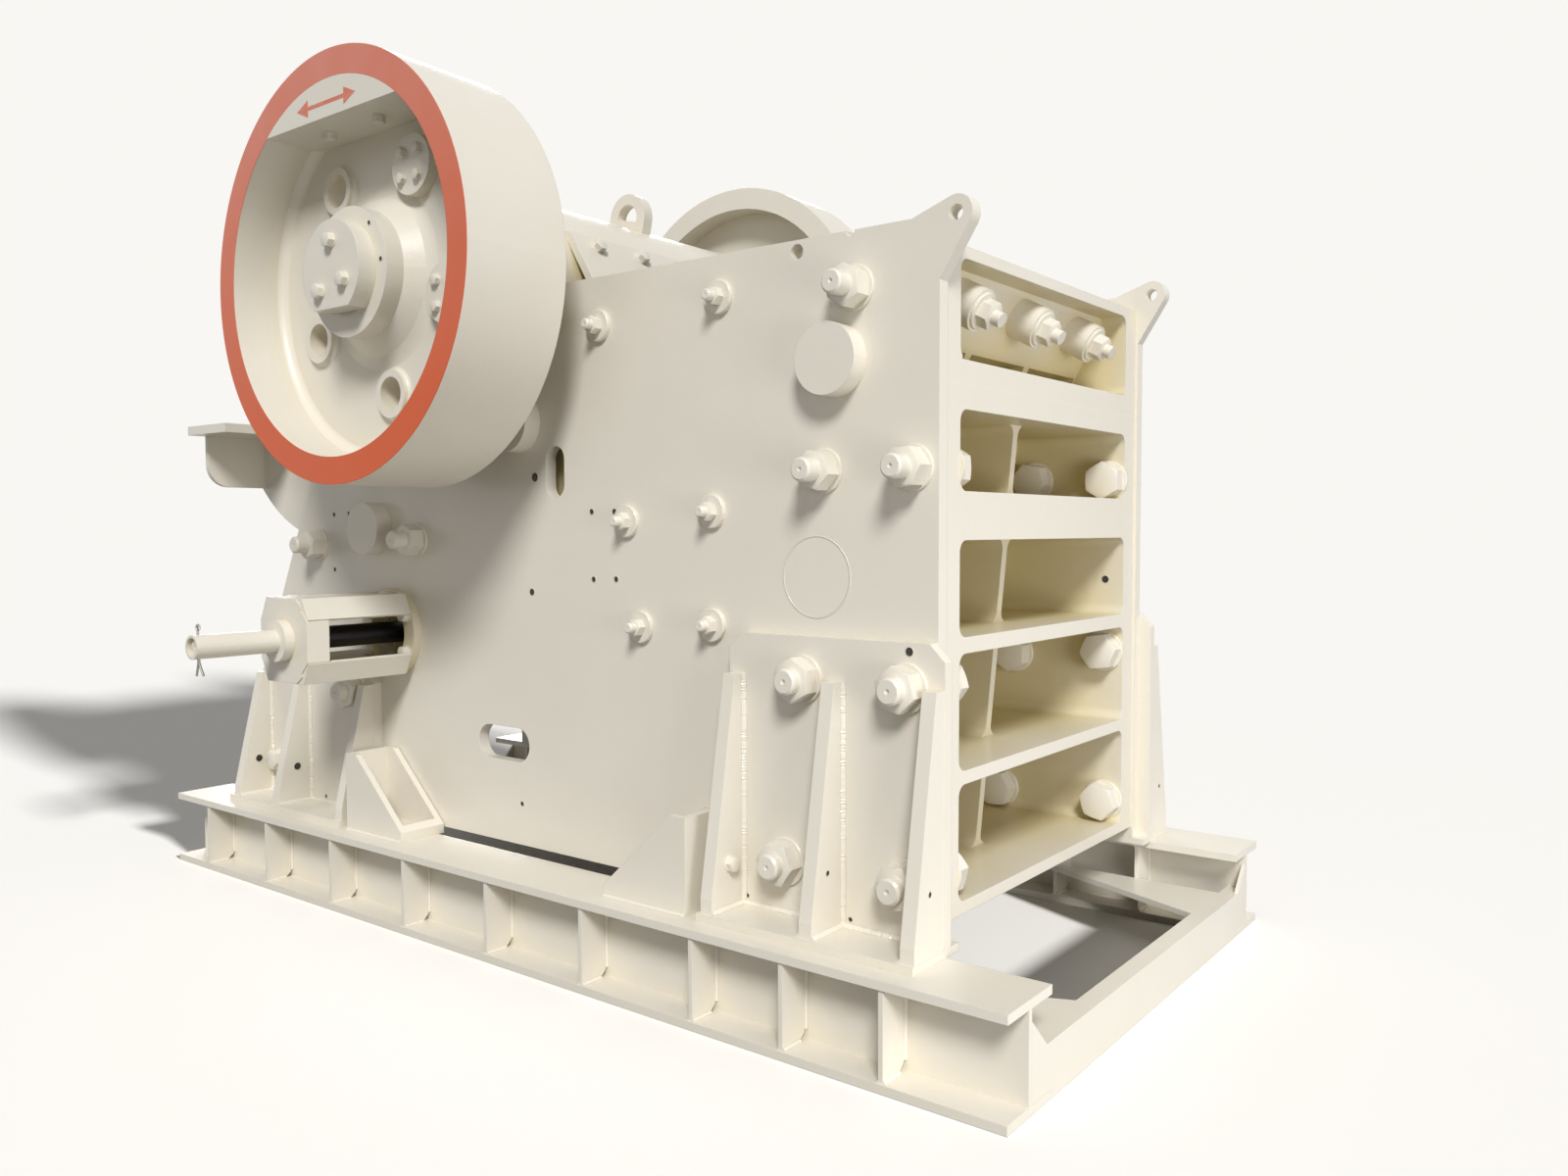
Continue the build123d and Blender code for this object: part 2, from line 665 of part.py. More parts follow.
def rear_frame_end():
    ledge_bottom = LEDGE_Z - LEDGE_T
    top_front = REAR_WALL_X - REAR_POCKET_REACH
    face = outline(
        (REAR_WALL_X, REAR_END_BOTTOM),
        (REAR_WALL_X, ledge_bottom),
        (BEAM_FRONT_X, ledge_bottom),
        (BEAM_FRONT_X, LEDGE_Z),
        (REAR_WALL_X, LEDGE_Z),
        (REAR_WALL_X, LEDGE_Z + BEAM_HEIGHT),
        (top_front, REAR_END_TOP),
        (rear_edge_x(REAR_END_TOP) + REAR_END_INSET, REAR_END_TOP),
        (PLATE_REAR + REAR_END_INSET, REAR_SLOPE_FOOT_Z),
        (PLATE_REAR + REAR_END_INSET, REAR_END_BOTTOM),
    )
    casting = plate(face, -INNER, INNER)
    floor_x = top_front - REAR_END_WALL
    for z0, z1 in REAR_POCKET_SPANS:
        width = CASTING_OPEN - MID_RIB_T / 2
        for side in (-1, 1):
            centre = Pos(side * (MID_RIB_T / 2 + width / 2), (z0 + z1) / 2)
            mouth = centre * RectangleRounded(width, z1 - z0, REAR_POCKET_CORNER_R)
            casting -= bar(mouth, PLATE_REAR, floor_x)
    lug_rear = top_front - TENSION_LUG_T
    hole_z = TENSION_Z + ECCENTRICITY
    lug = Pos(0, (REAR_END_BOTTOM + hole_z) / 2) * Rectangle(TENSION_LUG_W, REAR_END_BOTTOM - hole_z)
    lug += Pos(0, hole_z) * Circle(TENSION_LUG_W / 2)
    lug -= Pos(0, hole_z) * Circle(TENSION_HOLE_R)
    return casting + bar(lug, lug_rear, top_front)


def tension_rod():
    """Rod from the pitman's foot to the nut behind the spring."""
    spring_front, spring_rear = spring_ends()
    seat_rear = spring_rear - SPRING_SEAT_T
    axis = Pos(0, TENSION_Z)
    deepest = max(pitman_rear_x(TENSION_Z + TENSION_ROD_R), pitman_rear_x(TENSION_Z - TENSION_ROD_R))
    rod = bar(axis * Circle(TENSION_ROD_R), seat_rear - 2 * ROD_NUT_T, deepest) - pitman()
    rod += bar(axis * Circle(SPRING_R), seat_rear, spring_rear)
    rod += bar(axis * RegularPolygon(ROD_NUT_R, 6), seat_rear - ROD_NUT_T, seat_rear)
    return rod


def pitman_rear_x(z):
    """X of the pitman's sloping rear face at a height below the toggle seat."""
    return on_line((PITMAN_REAR_X, PITMAN_SEAT_Z - PITMAN_SEAT_HEIGHT / 2), PITMAN_FOOT, z)


def spring_ends():
    front = REAR_WALL_X - REAR_POCKET_REACH - TENSION_LUG_T - SPRING_GAP
    return front, front - 2 * SPRING_COIL_R * SPRING_TURNS


def tension_spring():
    """Closed coil spring round the rod, turned in one piece with a flat-sided crest for each turn."""
    front, rear = spring_ends()
    pitch = (front - rear) / SPRING_TURNS
    root_r = SPRING_R - SPRING_COIL_R
    profile = [(rear, root_r)]
    for turn in range(SPRING_TURNS):
        start = rear + turn * pitch
        profile += [(start + pitch / 4, SPRING_R), (start + 3 * pitch / 4, SPRING_R), (start + pitch, root_r)]
    profile += [(front, root_r - SPRING_COIL_R), (rear, root_r - SPRING_COIL_R)]
    points = [(x, 0, TENSION_Z + radius) for x, radius in profile]
    return revolve(make_face(Polyline(*points, close=True)), Axis((0, 0, TENSION_Z), (1, 0, 0)))


def wedge_adjuster():
    """Bracket outside the side plate: round flange, two straps and an eight-sided end block."""
    centre = Pos(ADJUSTER_X, TOGGLE_Z)
    ring = centre * Circle(ADJUSTER_FLANGE_R) - centre * Circle(ADJUSTER_PORT_R)
    bracket = plate(ring, -OUTER - ADJUSTER_FLANGE_T, -OUTER)
    square = centre * Rectangle(ADJUSTER_BLOCK, ADJUSTER_BLOCK)
    block = chamfer(square.vertices(), ADJUSTER_BLOCK_CHAMFER)
    block_end = BLOCK_Y + ADJUSTER_BLOCK_T
    bracket += plate(block, -block_end, -BLOCK_Y)
    strap_shift = (ADJUSTER_BLOCK - STRAP_T) / 2
    for side in (-1, 1):
        strap = Pos(ADJUSTER_X, TOGGLE_Z + side * strap_shift) * Rectangle(STRAP_WIDTH, STRAP_T)
        bracket += plate(strap & centre * Circle(ADJUSTER_FLANGE_R), -block_end, -OUTER)
    return bracket


def adjuster_rod():
    return drum(ADJUSTER_X, TOGGLE_Z, ADJUSTER_ROD_R, -BLOCK_Y, -WEDGE_HALF)


def adjuster_tube():
    start = BLOCK_Y + ADJUSTER_BLOCK_T
    end = start + TUBE_LENGTH
    tube = drum(ADJUSTER_X, TOGGLE_Z, TUBE_R, -end, -start)
    tube += drum(ADJUSTER_X, TOGGLE_Z, TUBE_COLLAR_R, -start - TUBE_COLLAR_T, -start)
    return tube - drum(ADJUSTER_X, TOGGLE_Z, TUBE_BORE_R, -end, -end + TUBE_BORE_DEPTH)


def foot(rear_x, front_x, top_z, rib_places, rib_top):
    """Foot bolted to the side plate: upright plate, base on the rail and tapered ribs."""
    face = outline(
        (rear_x, PLATE_BOTTOM),
        (front_x, PLATE_BOTTOM),
        (front_x, top_z - FOOT_CORNER),
        (front_x - FOOT_CORNER, top_z),
        (rear_x + FOOT_CORNER, top_z),
        (rear_x, top_z - FOOT_CORNER),
    )
    upright = OUTER + FOOT_PLATE_T
    edge = OUTER + FOOT_BASE_W
    support = plate(face, -upright, -OUTER)
    base = outline((rear_x, -INNER), (front_x, -INNER), (front_x, -edge), (rear_x, -edge))
    support += slab(base, BED_Z, PLATE_BOTTOM)
    rib = outline(
        (-upright, PLATE_BOTTOM),
        (-edge + FOOT_RIB_SETBACK, PLATE_BOTTOM),
        (-edge + FOOT_RIB_SETBACK, PLATE_BOTTOM + FOOT_RIB_TOP_W),
        (-upright - FOOT_RIB_TOP_W, rib_top),
        (-upright, rib_top),
    )
    for place in rib_places:
        support += bar(rib, place - FOOT_RIB_T / 2, place + FOOT_RIB_T / 2)
    return support


def front_foot():
    return foot(FRONT_FOOT_REAR, FRONT_FOOT_FRONT, FRONT_FOOT_TOP, FRONT_RIBS, FRONT_RIB_TOP)


def rear_foot():
    return foot(PLATE_REAR, REAR_FOOT_FRONT, REAR_FOOT_TOP, REAR_RIBS, REAR_RIB_TOP)


def stop_box(face_x, toward):
    """Open wedge-shaped box welded to the rail beside a foot; toward is the way its toe points."""
    def place(length, height):
        return (face_x + toward * length, BED_Z + height)

    side = outline(
        place(0, 0),
        place(0, STOP_HEIGHT),
        place(STOP_TOP, STOP_HEIGHT),
        place(STOP_LENGTH, STOP_TOE),
        place(STOP_LENGTH, 0),
    )
    hollow = outline(
        place(STOP_T, STOP_T),
        place(STOP_T, STOP_HEIGHT),
        place(STOP_LENGTH - STOP_T, STOP_HEIGHT),
        place(STOP_LENGTH - STOP_T, STOP_T),
    )
    start = OUTER + CHEEK_GAP
    box = plate(side, -start - STOP_W, -start)
    return box - plate(hollow, -start - STOP_W + STOP_T, -start - STOP_T)


def shelf_bracket():
    foot_corner = (SHELF_REAR, BRACKET_FOOT_Z)
    shelf_bottom = SHELF_TOP - SHELF_T
    clear_z = REAR_END_TOP + BRACKET_CLEAR
    edge = ThreePointArc(foot_corner, BRACKET_CURVE_MID, BRACKET_CURVE_END)
    rest = Polyline(
        BRACKET_CURVE_END,
        (rear_edge_x(clear_z), clear_z),
        (BRACKET_TAB_X, clear_z),
        (BRACKET_TAB_X, shelf_bottom),
        (SHELF_REAR, shelf_bottom),
        foot_corner,
    )
    bracket = plate(make_face([edge, *rest.edges()]), -INNER, -INNER + BRACKET_T)
    reach = outline(
        (SHELF_REAR, -INNER + BRACKET_T),
        (SHELF_REAR, -OUTER - SHELF_REACH),
        (SHELF_REAR + SHELF_LENGTH, -OUTER - SHELF_REACH),
        (SHELF_REAR + SHELF_LENGTH, -INNER + BRACKET_T),
    )
    bracket += slab(reach, shelf_bottom, SHELF_TOP)
    web = outline(
        (-INNER, shelf_bottom),
        (-OUTER - GUSSET_REACH, shelf_bottom),
        (-OUTER - GUSSET_REACH, BRACKET_FOOT_Z),
        (-INNER, BRACKET_FOOT_Z),
    )
    low_corner = web.vertices().sort_by(Axis.Y)[:2].sort_by(Axis.X)[0]
    return bracket + bar(fillet(low_corner, GUSSET_R), SHELF_REAR, SHELF_REAR + GUSSET_T)


def bay_places():
    """X of the rails' stiffeners: the front bays as spaced, the rest at one pitch to the rear end."""
    places = list(FRONT_BAYS)
    last = SKID_LENGTH - BAY_PITCH / 2
    while places[-1] + BAY_PITCH < last:
        places.append(places[-1] + BAY_PITCH)
    return [SKID_FRONT - place for place in places]


def skid_rail():
    """I-section rail with a full-height stiffener each side of the web at every bay."""
    section = Pos(-RAIL_Y, RAIL_H / 2) * Rectangle(RAIL_WEB_T, RAIL_H)
    for z in (RAIL_FLANGE_T / 2, RAIL_H - RAIL_FLANGE_T / 2):
        section += Pos(-RAIL_Y, z) * Rectangle(RAIL_W, RAIL_FLANGE_T)
    rail = bar(section, SKID_REAR, SKID_FRONT)
    low, high = RAIL_FLANGE_T, RAIL_H - RAIL_FLANGE_T
    for side in (-1, 1):
        root = -RAIL_Y + side * RAIL_WEB_T / 2
        edge = -RAIL_Y + side * (RAIL_W / 2 - STIFFENER_EDGE)
        rib = outline(
            (root, low + STIFFENER_COPE),
            (root + side * STIFFENER_COPE, low),
            (edge, low),
            (edge, high),
            (root, high),
        )
        for place in bay_places():
            rail += bar(rib, place - STIFFENER_T / 2, place + STIFFENER_T / 2)
    return rail


def cross_beam(outer_x, inward):
    """Channel between the rails' webs, back outwards, with corner plates; coped round the bottom flanges."""
    half = RAIL_Y - RAIL_WEB_T / 2
    web_x = outer_x + inward * CROSS_WEB_T / 2
    middle_x = outer_x + inward * CROSS_W / 2
    section = Pos(web_x, CROSS_H / 2) * Rectangle(CROSS_WEB_T, CROSS_H)
    for z in (CROSS_FLANGE_T / 2, CROSS_H - CROSS_FLANGE_T / 2):
        section += Pos(middle_x, z) * Rectangle(CROSS_W, CROSS_FLANGE_T)
    beam = plate(section, -half, half)
    cope = RAIL_Y - RAIL_W / 2
    for side in (-1, 1):
        y0, y1 = sorted((side * cope, side * half))
        beam -= plate(Pos(middle_x, RAIL_FLANGE_T / 2) * Rectangle(2 * CROSS_W, RAIL_FLANGE_T), y0, y1)
        gusset = outline(
            (side * half, CROSS_H),
            (side * (half - CROSS_GUSSET), CROSS_H),
            (side * half, CROSS_H + CROSS_GUSSET),
        )
        beam += bar(gusset, web_x - CROSS_WEB_T / 2, web_x + CROSS_WEB_T / 2)
        inner_x = outer_x + inward * CROSS_W
        rail_edge = side * (cope + STIFFENER_EDGE)
        corner = outline(
            (inner_x, rail_edge),
            (inner_x, rail_edge - side * CORNER_PLATE_W),
            (inner_x + inward * CORNER_PLATE_RUN, rail_edge),
        )
        beam += slab(corner, CROSS_H - CROSS_FLANGE_T, CROSS_H)
    return beam


def all_pieces():
    """Every node's name with its solids."""
    pieces = {}

    def add(name, *solids):
        pieces[name] = list(solids)

    def add_pair(name, solid):
        add(name + "_near", solid)
        add(name + "_far", far_side(solid))

    add_pair("side_plate", side_plate())
    add("front_frame_end", ribbed_front(), clamp_head())
    add("rear_frame_end", rear_frame_end())
    add("fixed_jaw_die", fixed_jaw_die())
    add("moving_jaw_die", moving_jaw_die())
    add("cheek_plates_upper", *both_sides(cheek_plate(CHEEK_SPLIT_Z + CHEEK_GAP, FIXED_TOP[1])))
    add("cheek_plates_lower", *both_sides(cheek_plate(FIXED_FOOT[1], CHEEK_SPLIT_Z)))
    add("die_clamp_cups", *die_clamp_cups())
    add("plate_bosses", *plate_bosses())
    add("bearing_housing_near", bearing_housing(NEAR_WHEEL))
    add("bearing_housing_far", far_side(bearing_housing(FAR_WHEEL)))
    add("eccentric_shaft", eccentric_shaft())
    add("flywheel_near", flywheel(NEAR_WHEEL))
    add("flywheel_far", far_side(flywheel(FAR_WHEEL)))
    add("counterweights", counterweight(NEAR_WHEEL), far_side(counterweight(FAR_WHEEL)))
    add("hub_caps", hub_cap(NEAR_WHEEL), far_side(hub_cap(FAR_WHEEL)))
    add("pitman", pitman())
    add("pitman_guard", pitman_guard())
    add("lifting_eye", lifting_eye())
    add("pitman_toggle_seat", pitman_toggle_seat())
    add("toggle_plate", toggle_plate())
    add("toggle_beam", toggle_beam())
    add("adjusting_wedges", *both_sides(adjusting_wedge()))
    add("tension_rod", tension_rod())
    add("tension_spring", tension_spring())
    add_pair("wedge_adjuster", wedge_adjuster())
    add("adjuster_rods", *both_sides(adjuster_rod()))
    add("adjuster_tubes", *both_sides(adjuster_tube()))
    add_pair("front_foot", front_foot())
    add_pair("rear_foot", rear_foot())
    add("front_stop_boxes", *both_sides(stop_box(FRONT_FOOT_REAR - STOP_GAP, -1)))
    add("rear_stop_boxes", *both_sides(stop_box(REAR_FOOT_FRONT + STOP_GAP, 1)))
    add_pair("shelf_bracket", shelf_bracket())
    add_pair("skid_rail", skid_rail())
    add("skid_front_beam", cross_beam(SKID_FRONT, -1))
    add("skid_rear_beam", cross_beam(SKID_REAR, 1))
    return pieces


if __name__ == "__main__":
    os.makedirs("parts", exist_ok=True)
    to_centre = Pos(-(SKID_FRONT + SKID_REAR) / 2, 0, 0)
    for name, solids in all_pieces().items():
        export_step(to_centre * Compound(children=solids), f"parts/{name}.step")
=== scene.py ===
# Jaw crusher on a welded skid: paint, fasteners, welds and a pale studio. Metres, +Z up, feed end towards +X.
import math
import random

import bmesh
import bpy
from bpy.props import FloatProperty, FloatVectorProperty, PointerProperty
from mathutils import Matrix, Vector


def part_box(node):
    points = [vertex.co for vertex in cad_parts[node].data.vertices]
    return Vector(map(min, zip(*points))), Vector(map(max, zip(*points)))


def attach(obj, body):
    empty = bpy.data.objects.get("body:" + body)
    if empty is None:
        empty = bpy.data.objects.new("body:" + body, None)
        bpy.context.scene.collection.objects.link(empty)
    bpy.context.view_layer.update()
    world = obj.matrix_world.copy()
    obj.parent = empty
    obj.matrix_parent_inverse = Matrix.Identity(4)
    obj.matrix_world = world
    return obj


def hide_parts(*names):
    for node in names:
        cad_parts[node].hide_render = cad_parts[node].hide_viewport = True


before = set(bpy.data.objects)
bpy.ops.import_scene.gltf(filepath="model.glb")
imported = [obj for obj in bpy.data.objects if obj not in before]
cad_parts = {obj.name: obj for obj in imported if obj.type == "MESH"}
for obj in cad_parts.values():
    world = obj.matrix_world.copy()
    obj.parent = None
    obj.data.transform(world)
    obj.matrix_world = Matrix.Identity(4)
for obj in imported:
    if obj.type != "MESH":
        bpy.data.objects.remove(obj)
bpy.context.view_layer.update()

bl_info = {
    "name": "Jaw crusher finish",
    "version": (1, 0, 0),
    "blender": (4, 5, 0),
    "location": "View3D > Sidebar > Crusher",
    "description": "Paints the jaw crusher and adds its fasteners, welds and studio",
    "category": "Object",
}

MM = 0.001
NEAR, FAR = -1, 1
SIDES = (("near", NEAR), ("far", FAR))


def outward(node):
    """How far a node reaches out from the centre line on each side."""
    low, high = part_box(node)
    return {NEAR: -low.y, FAR: high.y}


# Places that the frame gives
FRONT_SETBACK = 10 * MM
FOOT_PLATE_T = 40 * MM
PLATE_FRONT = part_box("front_frame_end")[1].x + FRONT_SETBACK
PLATE_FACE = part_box("side_plate_far")[1].y
WHEEL_LOW, WHEEL_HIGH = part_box("flywheel_near")
WHEEL_AXIS = Vector(((WHEEL_LOW.x + WHEEL_HIGH.x) / 2, 0, (WHEEL_LOW.z + WHEEL_HIGH.z) / 2))
WHEEL_R = (WHEEL_HIGH.z - WHEEL_LOW.z) / 2
RIM_FACE = outward("counterweights")
CAP_FACE = outward("hub_caps")
FOOT_FACE = PLATE_FACE + FOOT_PLATE_T
RAIL_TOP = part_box("skid_rail_far")[1].z


def linear(code):
    """Linear colour of an sRGB hex code."""
    parts = [int(code[place:place + 2], 16) / 255 for place in (0, 2, 4)]
    return tuple(c / 12.92 if c <= 0.04045 else ((c + 0.055) / 1.055) ** 2.4 for c in parts) + (1.0,)


def spot(x, y, z):
    """Point in the frame from millimetres: x from the side plates' front edge, y and z as they are."""
    return Vector((PLATE_FRONT + x * MM, y * MM, z * MM))


def on_side(x, z, side, face):
    """Point on an outer face of one side: x and z as for a spot, the face's distance in metres."""
    return spot(x, 0, z) + Vector((0, side * face, 0))


def heading(angle):
    """Unit vector at an angle in degrees in the upright plane along the machine: 0 is ahead, 90 is up."""
    turn = math.radians(angle)
    return Vector((math.cos(turn), 0, math.sin(turn)))


def colour(label, words, code):
    return FloatVectorProperty(name=label, description=words, default=linear(code), size=4, subtype="COLOR",
                               min=0, max=1)


def length(label, words, millimetres):
    return FloatProperty(name=label, description=words, default=millimetres * MM, unit="LENGTH", min=0)


def degrees(label, words, value):
    return FloatProperty(name=label, description=words, default=math.radians(value), subtype="ANGLE")


def amount(label, words, value):
    return FloatProperty(name=label, description=words, default=value, min=0)


class CRUSHER_PG_paint(bpy.types.PropertyGroup):
    """Colours of the paint and the bare metal."""
    cream: colour("Cream", "Enamel on plates and castings", "E3DED2")
    cream_shade: colour("Cream shade", "Thinner or older enamel in the mottling", "DBD4C6")
    # Painted shade as well as dust: occlusion mixes this olive into corners and recesses to darken them.
    dust_and_shade: colour("Dust", "Stone dust and oil film that settle in corners", "CBBB80")
    rim: colour("Rim orange", "Warning paint on the flywheel's rim face and the arrow", "D05008")
    # Painted highlight: the rim is mixed towards this paler pink in patches towards the top, where it catches
    # the light; the arrow uses it for brush streaks.
    rim_streaks_and_highlight: colour("Rim faded", "The same paint where the sun has bleached it", "D69688")
    manganese: colour("Manganese steel", "Cast skin of the jaw dies", "5E5650")
    bright_steel: colour("Bright steel", "Machined or worn steel", "B9B6B0")
    iron: colour("Grey iron", "Cast skin of the toggle plate", "63615E")
    spring: colour("Spring steel", "Oil-blacked spring wire", "38373A")
    bore: colour("Bore", "Shade inside a tapped hole", "2C281F")


class CRUSHER_PG_fasteners(bpy.types.PropertyGroup):
    """Sizes of the bolts, nuts and weld beads."""
    tie_flats: length("Tie nut flats", "Width of a tie-bolt nut across its flats", 112)
    tie_nut: length("Tie nut height", "Thickness of a tie-bolt nut", 62)
    tie_stud: length("Tie stud radius", "Radius of a tie bolt", 37)
    tie_end: length("Tie stud end", "Tie bolt left standing out of its nut", 58)
    head_flats: length("Bolt head flats", "Width of a bolt head inside the casting across its flats", 127)
    head: length("Bolt head height", "Height of a bolt head inside the casting", 74)
    foot_flats: length("Foot nut flats", "Width of a foot nut across its flats", 124)
    foot_nut: length("Foot nut height", "Thickness of a foot nut", 58)
    foot_stud: length("Foot stud radius", "Radius of a foot bolt", 42)
    foot_end: length("Foot stud end", "Foot bolt left standing out of its nut", 34)
    cheek_washer: length("Cheek washer radius", "Radius of the thick washer of a cheek-plate bolt", 57)
    cheek_flats: length("Cheek nut flats", "Width of a cheek-plate nut across its flats", 55)
    cheek_stud: length("Cheek stud radius", "Radius of a cheek-plate bolt", 18)
    small_flats: length("Small bolt flats", "Width of a small bolt across its flats", 46)
    small_head: length("Small bolt head", "Height of a small bolt's head", 26)
    flange_head: length("Flange bolt head", "Height of a bolt head on the adjusters and the guard", 28)
    weld_leg: length("Weld leg", "Leg of a fillet weld", 12)
    weld_pitch: length("Weld ripple", "Distance between ripples of a weld bead", 9)


class CRUSHER_PG_stage(bpy.types.PropertyGroup):
    """Camera and light."""
    lens: amount("Lens", "Focal length on a 36 mm sensor, in millimetres", 27.54)
    camera: FloatVectorProperty(name="Camera", description="Place of the camera", subtype="XYZ",
                                unit="LENGTH", default=(3.5499, -3.8205, 1.5623))
    yaw: degrees("Yaw", "Turn of the camera about Z", 37.38)
    pitch: degrees("Pitch", "Downward tilt", 2.77)
    roll: degrees("Roll", "Roll of the camera", -0.13)
    key: amount("Key light", "Strength of the lamp over the near side", 2.82)
    front: amount("Front light", "Power of the panel lamp ahead of it, in watts", 86)
    back: amount("Back light", "Strength of the lamp behind it", 1.5)
    shadow: amount("Floor light", "Strength of the low lamp on the floor", 6.32)
    fill: amount("Fill light", "Strength of the sky", 0.28)
    ground: length("Ground size", "Half width of the floor", 60000)


def add(tree, kind, inputs=None, **settings):
    """Adds a shader node. Its inputs are values, outputs or nodes, and a node gives its first output."""
    made = tree.nodes.new("ShaderNode" + kind)
    for name, value in settings.items():
        setattr(made, name, value)
    for name, value in (inputs or {}).items():
        socket = made.inputs[name]
        if isinstance(value, bpy.types.Node):
            value = next(output for output in value.outputs if output.enabled)
        if isinstance(value, bpy.types.NodeSocket):
            tree.links.new(value, socket)
        else:
            socket.default_value = value
    return made


def blank_material(name):
    material = bpy.data.materials.new(name)
    material.use_nodes = True
    material.node_tree.nodes.clear()
    return material, material.node_tree


def per_metre(millimetres):
    """Texture scale of a pattern from its real size."""
    return 1000 / millimetres


# Sizes of the patterns in millimetres, the colours inside them, and the radians a wave runs to the unit
MOTTLE = 520
COAT_EDGE, CAST_EDGE = 3, 4
RIM_COAT = 1.5
HIGHLIGHT_DROP = 500
BRISTLE_REPEAT = 96
MARK_DEPTH = 0.3
GRIT_DEPTH = 1.2
OIL_PATCH = 160
WAVE_RATE = 20
OIL_FILM = "272521"
# Speckle size and second dark tint of the painted shade in the holes' mouths
SPECKLE, SPECKLE_SHADE = 4, "312E27"


def gloss_enamel(name, paint, peel, peel_depth, roughness, corner, dust_and_shade, on_wheel=False):
    """Gloss enamel over steel: slow mottling, orange peel, dust and painted shade in the corners, edges
    rounded by the coat, and on the flywheels a painted highlight on the rims towards the top.
    """
    material, tree = blank_material(name)
    where = add(tree, "TexCoord").outputs["Object"]
    # Slow change of shade over about half a metre, as thick and thin coats give.
    mottle = add(tree, "TexNoise",
                 {"Vector": where, "Scale": per_metre(MOTTLE), "Detail": 4.0, "Roughness": 0.6})
    base = add(tree, "Mix", {"Factor": mottle, "A": paint.cream, "B": paint.cream_shade}, data_type="RGBA")
    if on_wheel:
        # Warning paint lies only on each rim's outer face, drawn paler in patches towards the top as a
        # painted highlight.
        place = add(tree, "SeparateXYZ", {"Vector": where}).outputs
        rims = [add(tree, "Math", {0: place["Y"], 1: side * RIM_FACE[side], 2: RIM_COAT * MM},
                    operation="COMPARE") for side in (NEAR, FAR)]
        mask = add(tree, "Math", dict(enumerate(rims)), operation="MAXIMUM")
        height = add(tree, "MapRange", {"Value": place["Z"], "From Min": WHEEL_AXIS.z - HIGHLIGHT_DROP * MM,
                                        "From Max": WHEEL_AXIS.z + WHEEL_R})
        highlight_patch = add(tree, "Math", {0: height, 1: mottle}, operation="MULTIPLY")
        warning = add(tree, "Mix", {"Factor": highlight_patch, "A": paint.rim, "B": paint.rim_streaks_and_highlight}, data_type="RGBA")
        base = add(tree, "Mix", {"Factor": mask, "A": base, "B": warning}, data_type="RGBA")
    # Dust and oil film settle where faces meet, and the olive mixed in there is also painted shade for the
    # corners and recesses, as far from the corner as the piece lets it lie.
    shelter = add(tree, "AmbientOcclusion", {"Distance": corner * MM}, samples=6)
    dust_and_shade_mask = add(tree, "MapRange", {"Value": shelter.outputs["AO"], "From Min": 0.8, "From Max": 0.15,
                                     "To Max": dust_and_shade})
    dusty_and_shaded = add(tree, "Mix", {"Factor": dust_and_shade_mask, "A": base, "B": paint.dust_and_shade}, data_type="RGBA")
    # Real orange peel is about 2 mm across; it is drawn coarser so that it still shows from this far.
    grain = add(tree, "TexNoise", {"Vector": where, "Scale": per_metre(peel), "Detail": 3.0})
    edge = add(tree, "Bevel", {"Radius": COAT_EDGE * MM}, samples=4)
    skin = add(tree, "Bump", {"Height": grain, "Strength": 0.5, "Distance": peel_depth * MM, "Normal": edge})
    sheen = add(tree, "MapRange", {"Value": mottle, "To Min": roughness - 0.07, "To Max": roughness + 0.12})
    enamel = add(tree, "BsdfPrincipled", {"Base Color": dusty_and_shaded, "Roughness": sheen, "Normal": skin, "IOR": 1.5,
                                          "Coat Weight": 0.2, "Coat Roughness": 0.12})
    add(tree, "OutputMaterial", {"Surface": enamel})
    return material


def warning_paint(paint):
    """Brushed warning enamel of the arrow: the rim's colour, with brush streaks along it."""
    material, tree = blank_material("warning_enamel")
    where = add(tree, "TexCoord").outputs["Object"]
    # Bristle marks about 8 mm apart: the pattern is squeezed twelvefold across the arrow.
    squeezed = add(tree, "Mapping", {"Vector": where, "Scale": (1.0, 1.0, 12.0)})
    streak = add(tree, "TexNoise", {"Vector": squeezed, "Scale": per_metre(BRISTLE_REPEAT), "Detail": 3.0})
    tint = add(tree, "Mix", {"Factor": streak, "A": paint.rim, "B": paint.rim_streaks_and_highlight}, data_type="RGBA")
    brush = add(tree, "Bump", {"Height": streak, "Strength": 0.3, "Distance": MARK_DEPTH * MM})
    enamel = add(tree, "BsdfPrincipled", {"Base Color": tint, "Roughness": 0.42, "Normal": brush, "IOR": 1.5})
    add(tree, "OutputMaterial", {"Surface": enamel})


def cast_metal(name, skin, worn, grit, roughness):
    """Sand-cast metal: gritty dark skin, with the high grains rubbed bright."""
    material, tree = blank_material(name)
    where = add(tree, "TexCoord").outputs["Object"]
    grain = add(tree, "TexNoise",
                {"Vector": where, "Scale": per_metre(grit), "Detail": 6.0, "Roughness": 0.65})
    rubbed = add(tree, "MapRange", {"Value": grain, "From Min": 0.55, "From Max": 0.75})
    tint = add(tree, "Mix", {"Factor": rubbed, "A": skin, "B": worn}, data_type="RGBA")
    edge = add(tree, "Bevel", {"Radius": CAST_EDGE * MM}, samples=4)
    bump = add(tree, "Bump", {"Height": grain, "Strength": 0.6, "Distance": GRIT_DEPTH * MM, "Normal": edge})
    shine = add(tree, "MapRange", {"Value": grain, "To Min": roughness + 0.15, "To Max": roughness - 0.15})
    metal = add(tree, "BsdfPrincipled", {"Base Color": tint, "Metallic": 0.85, "Roughness": shine,
                                         "Normal": bump})
    add(tree, "OutputMaterial", {"Surface": metal})
    return material


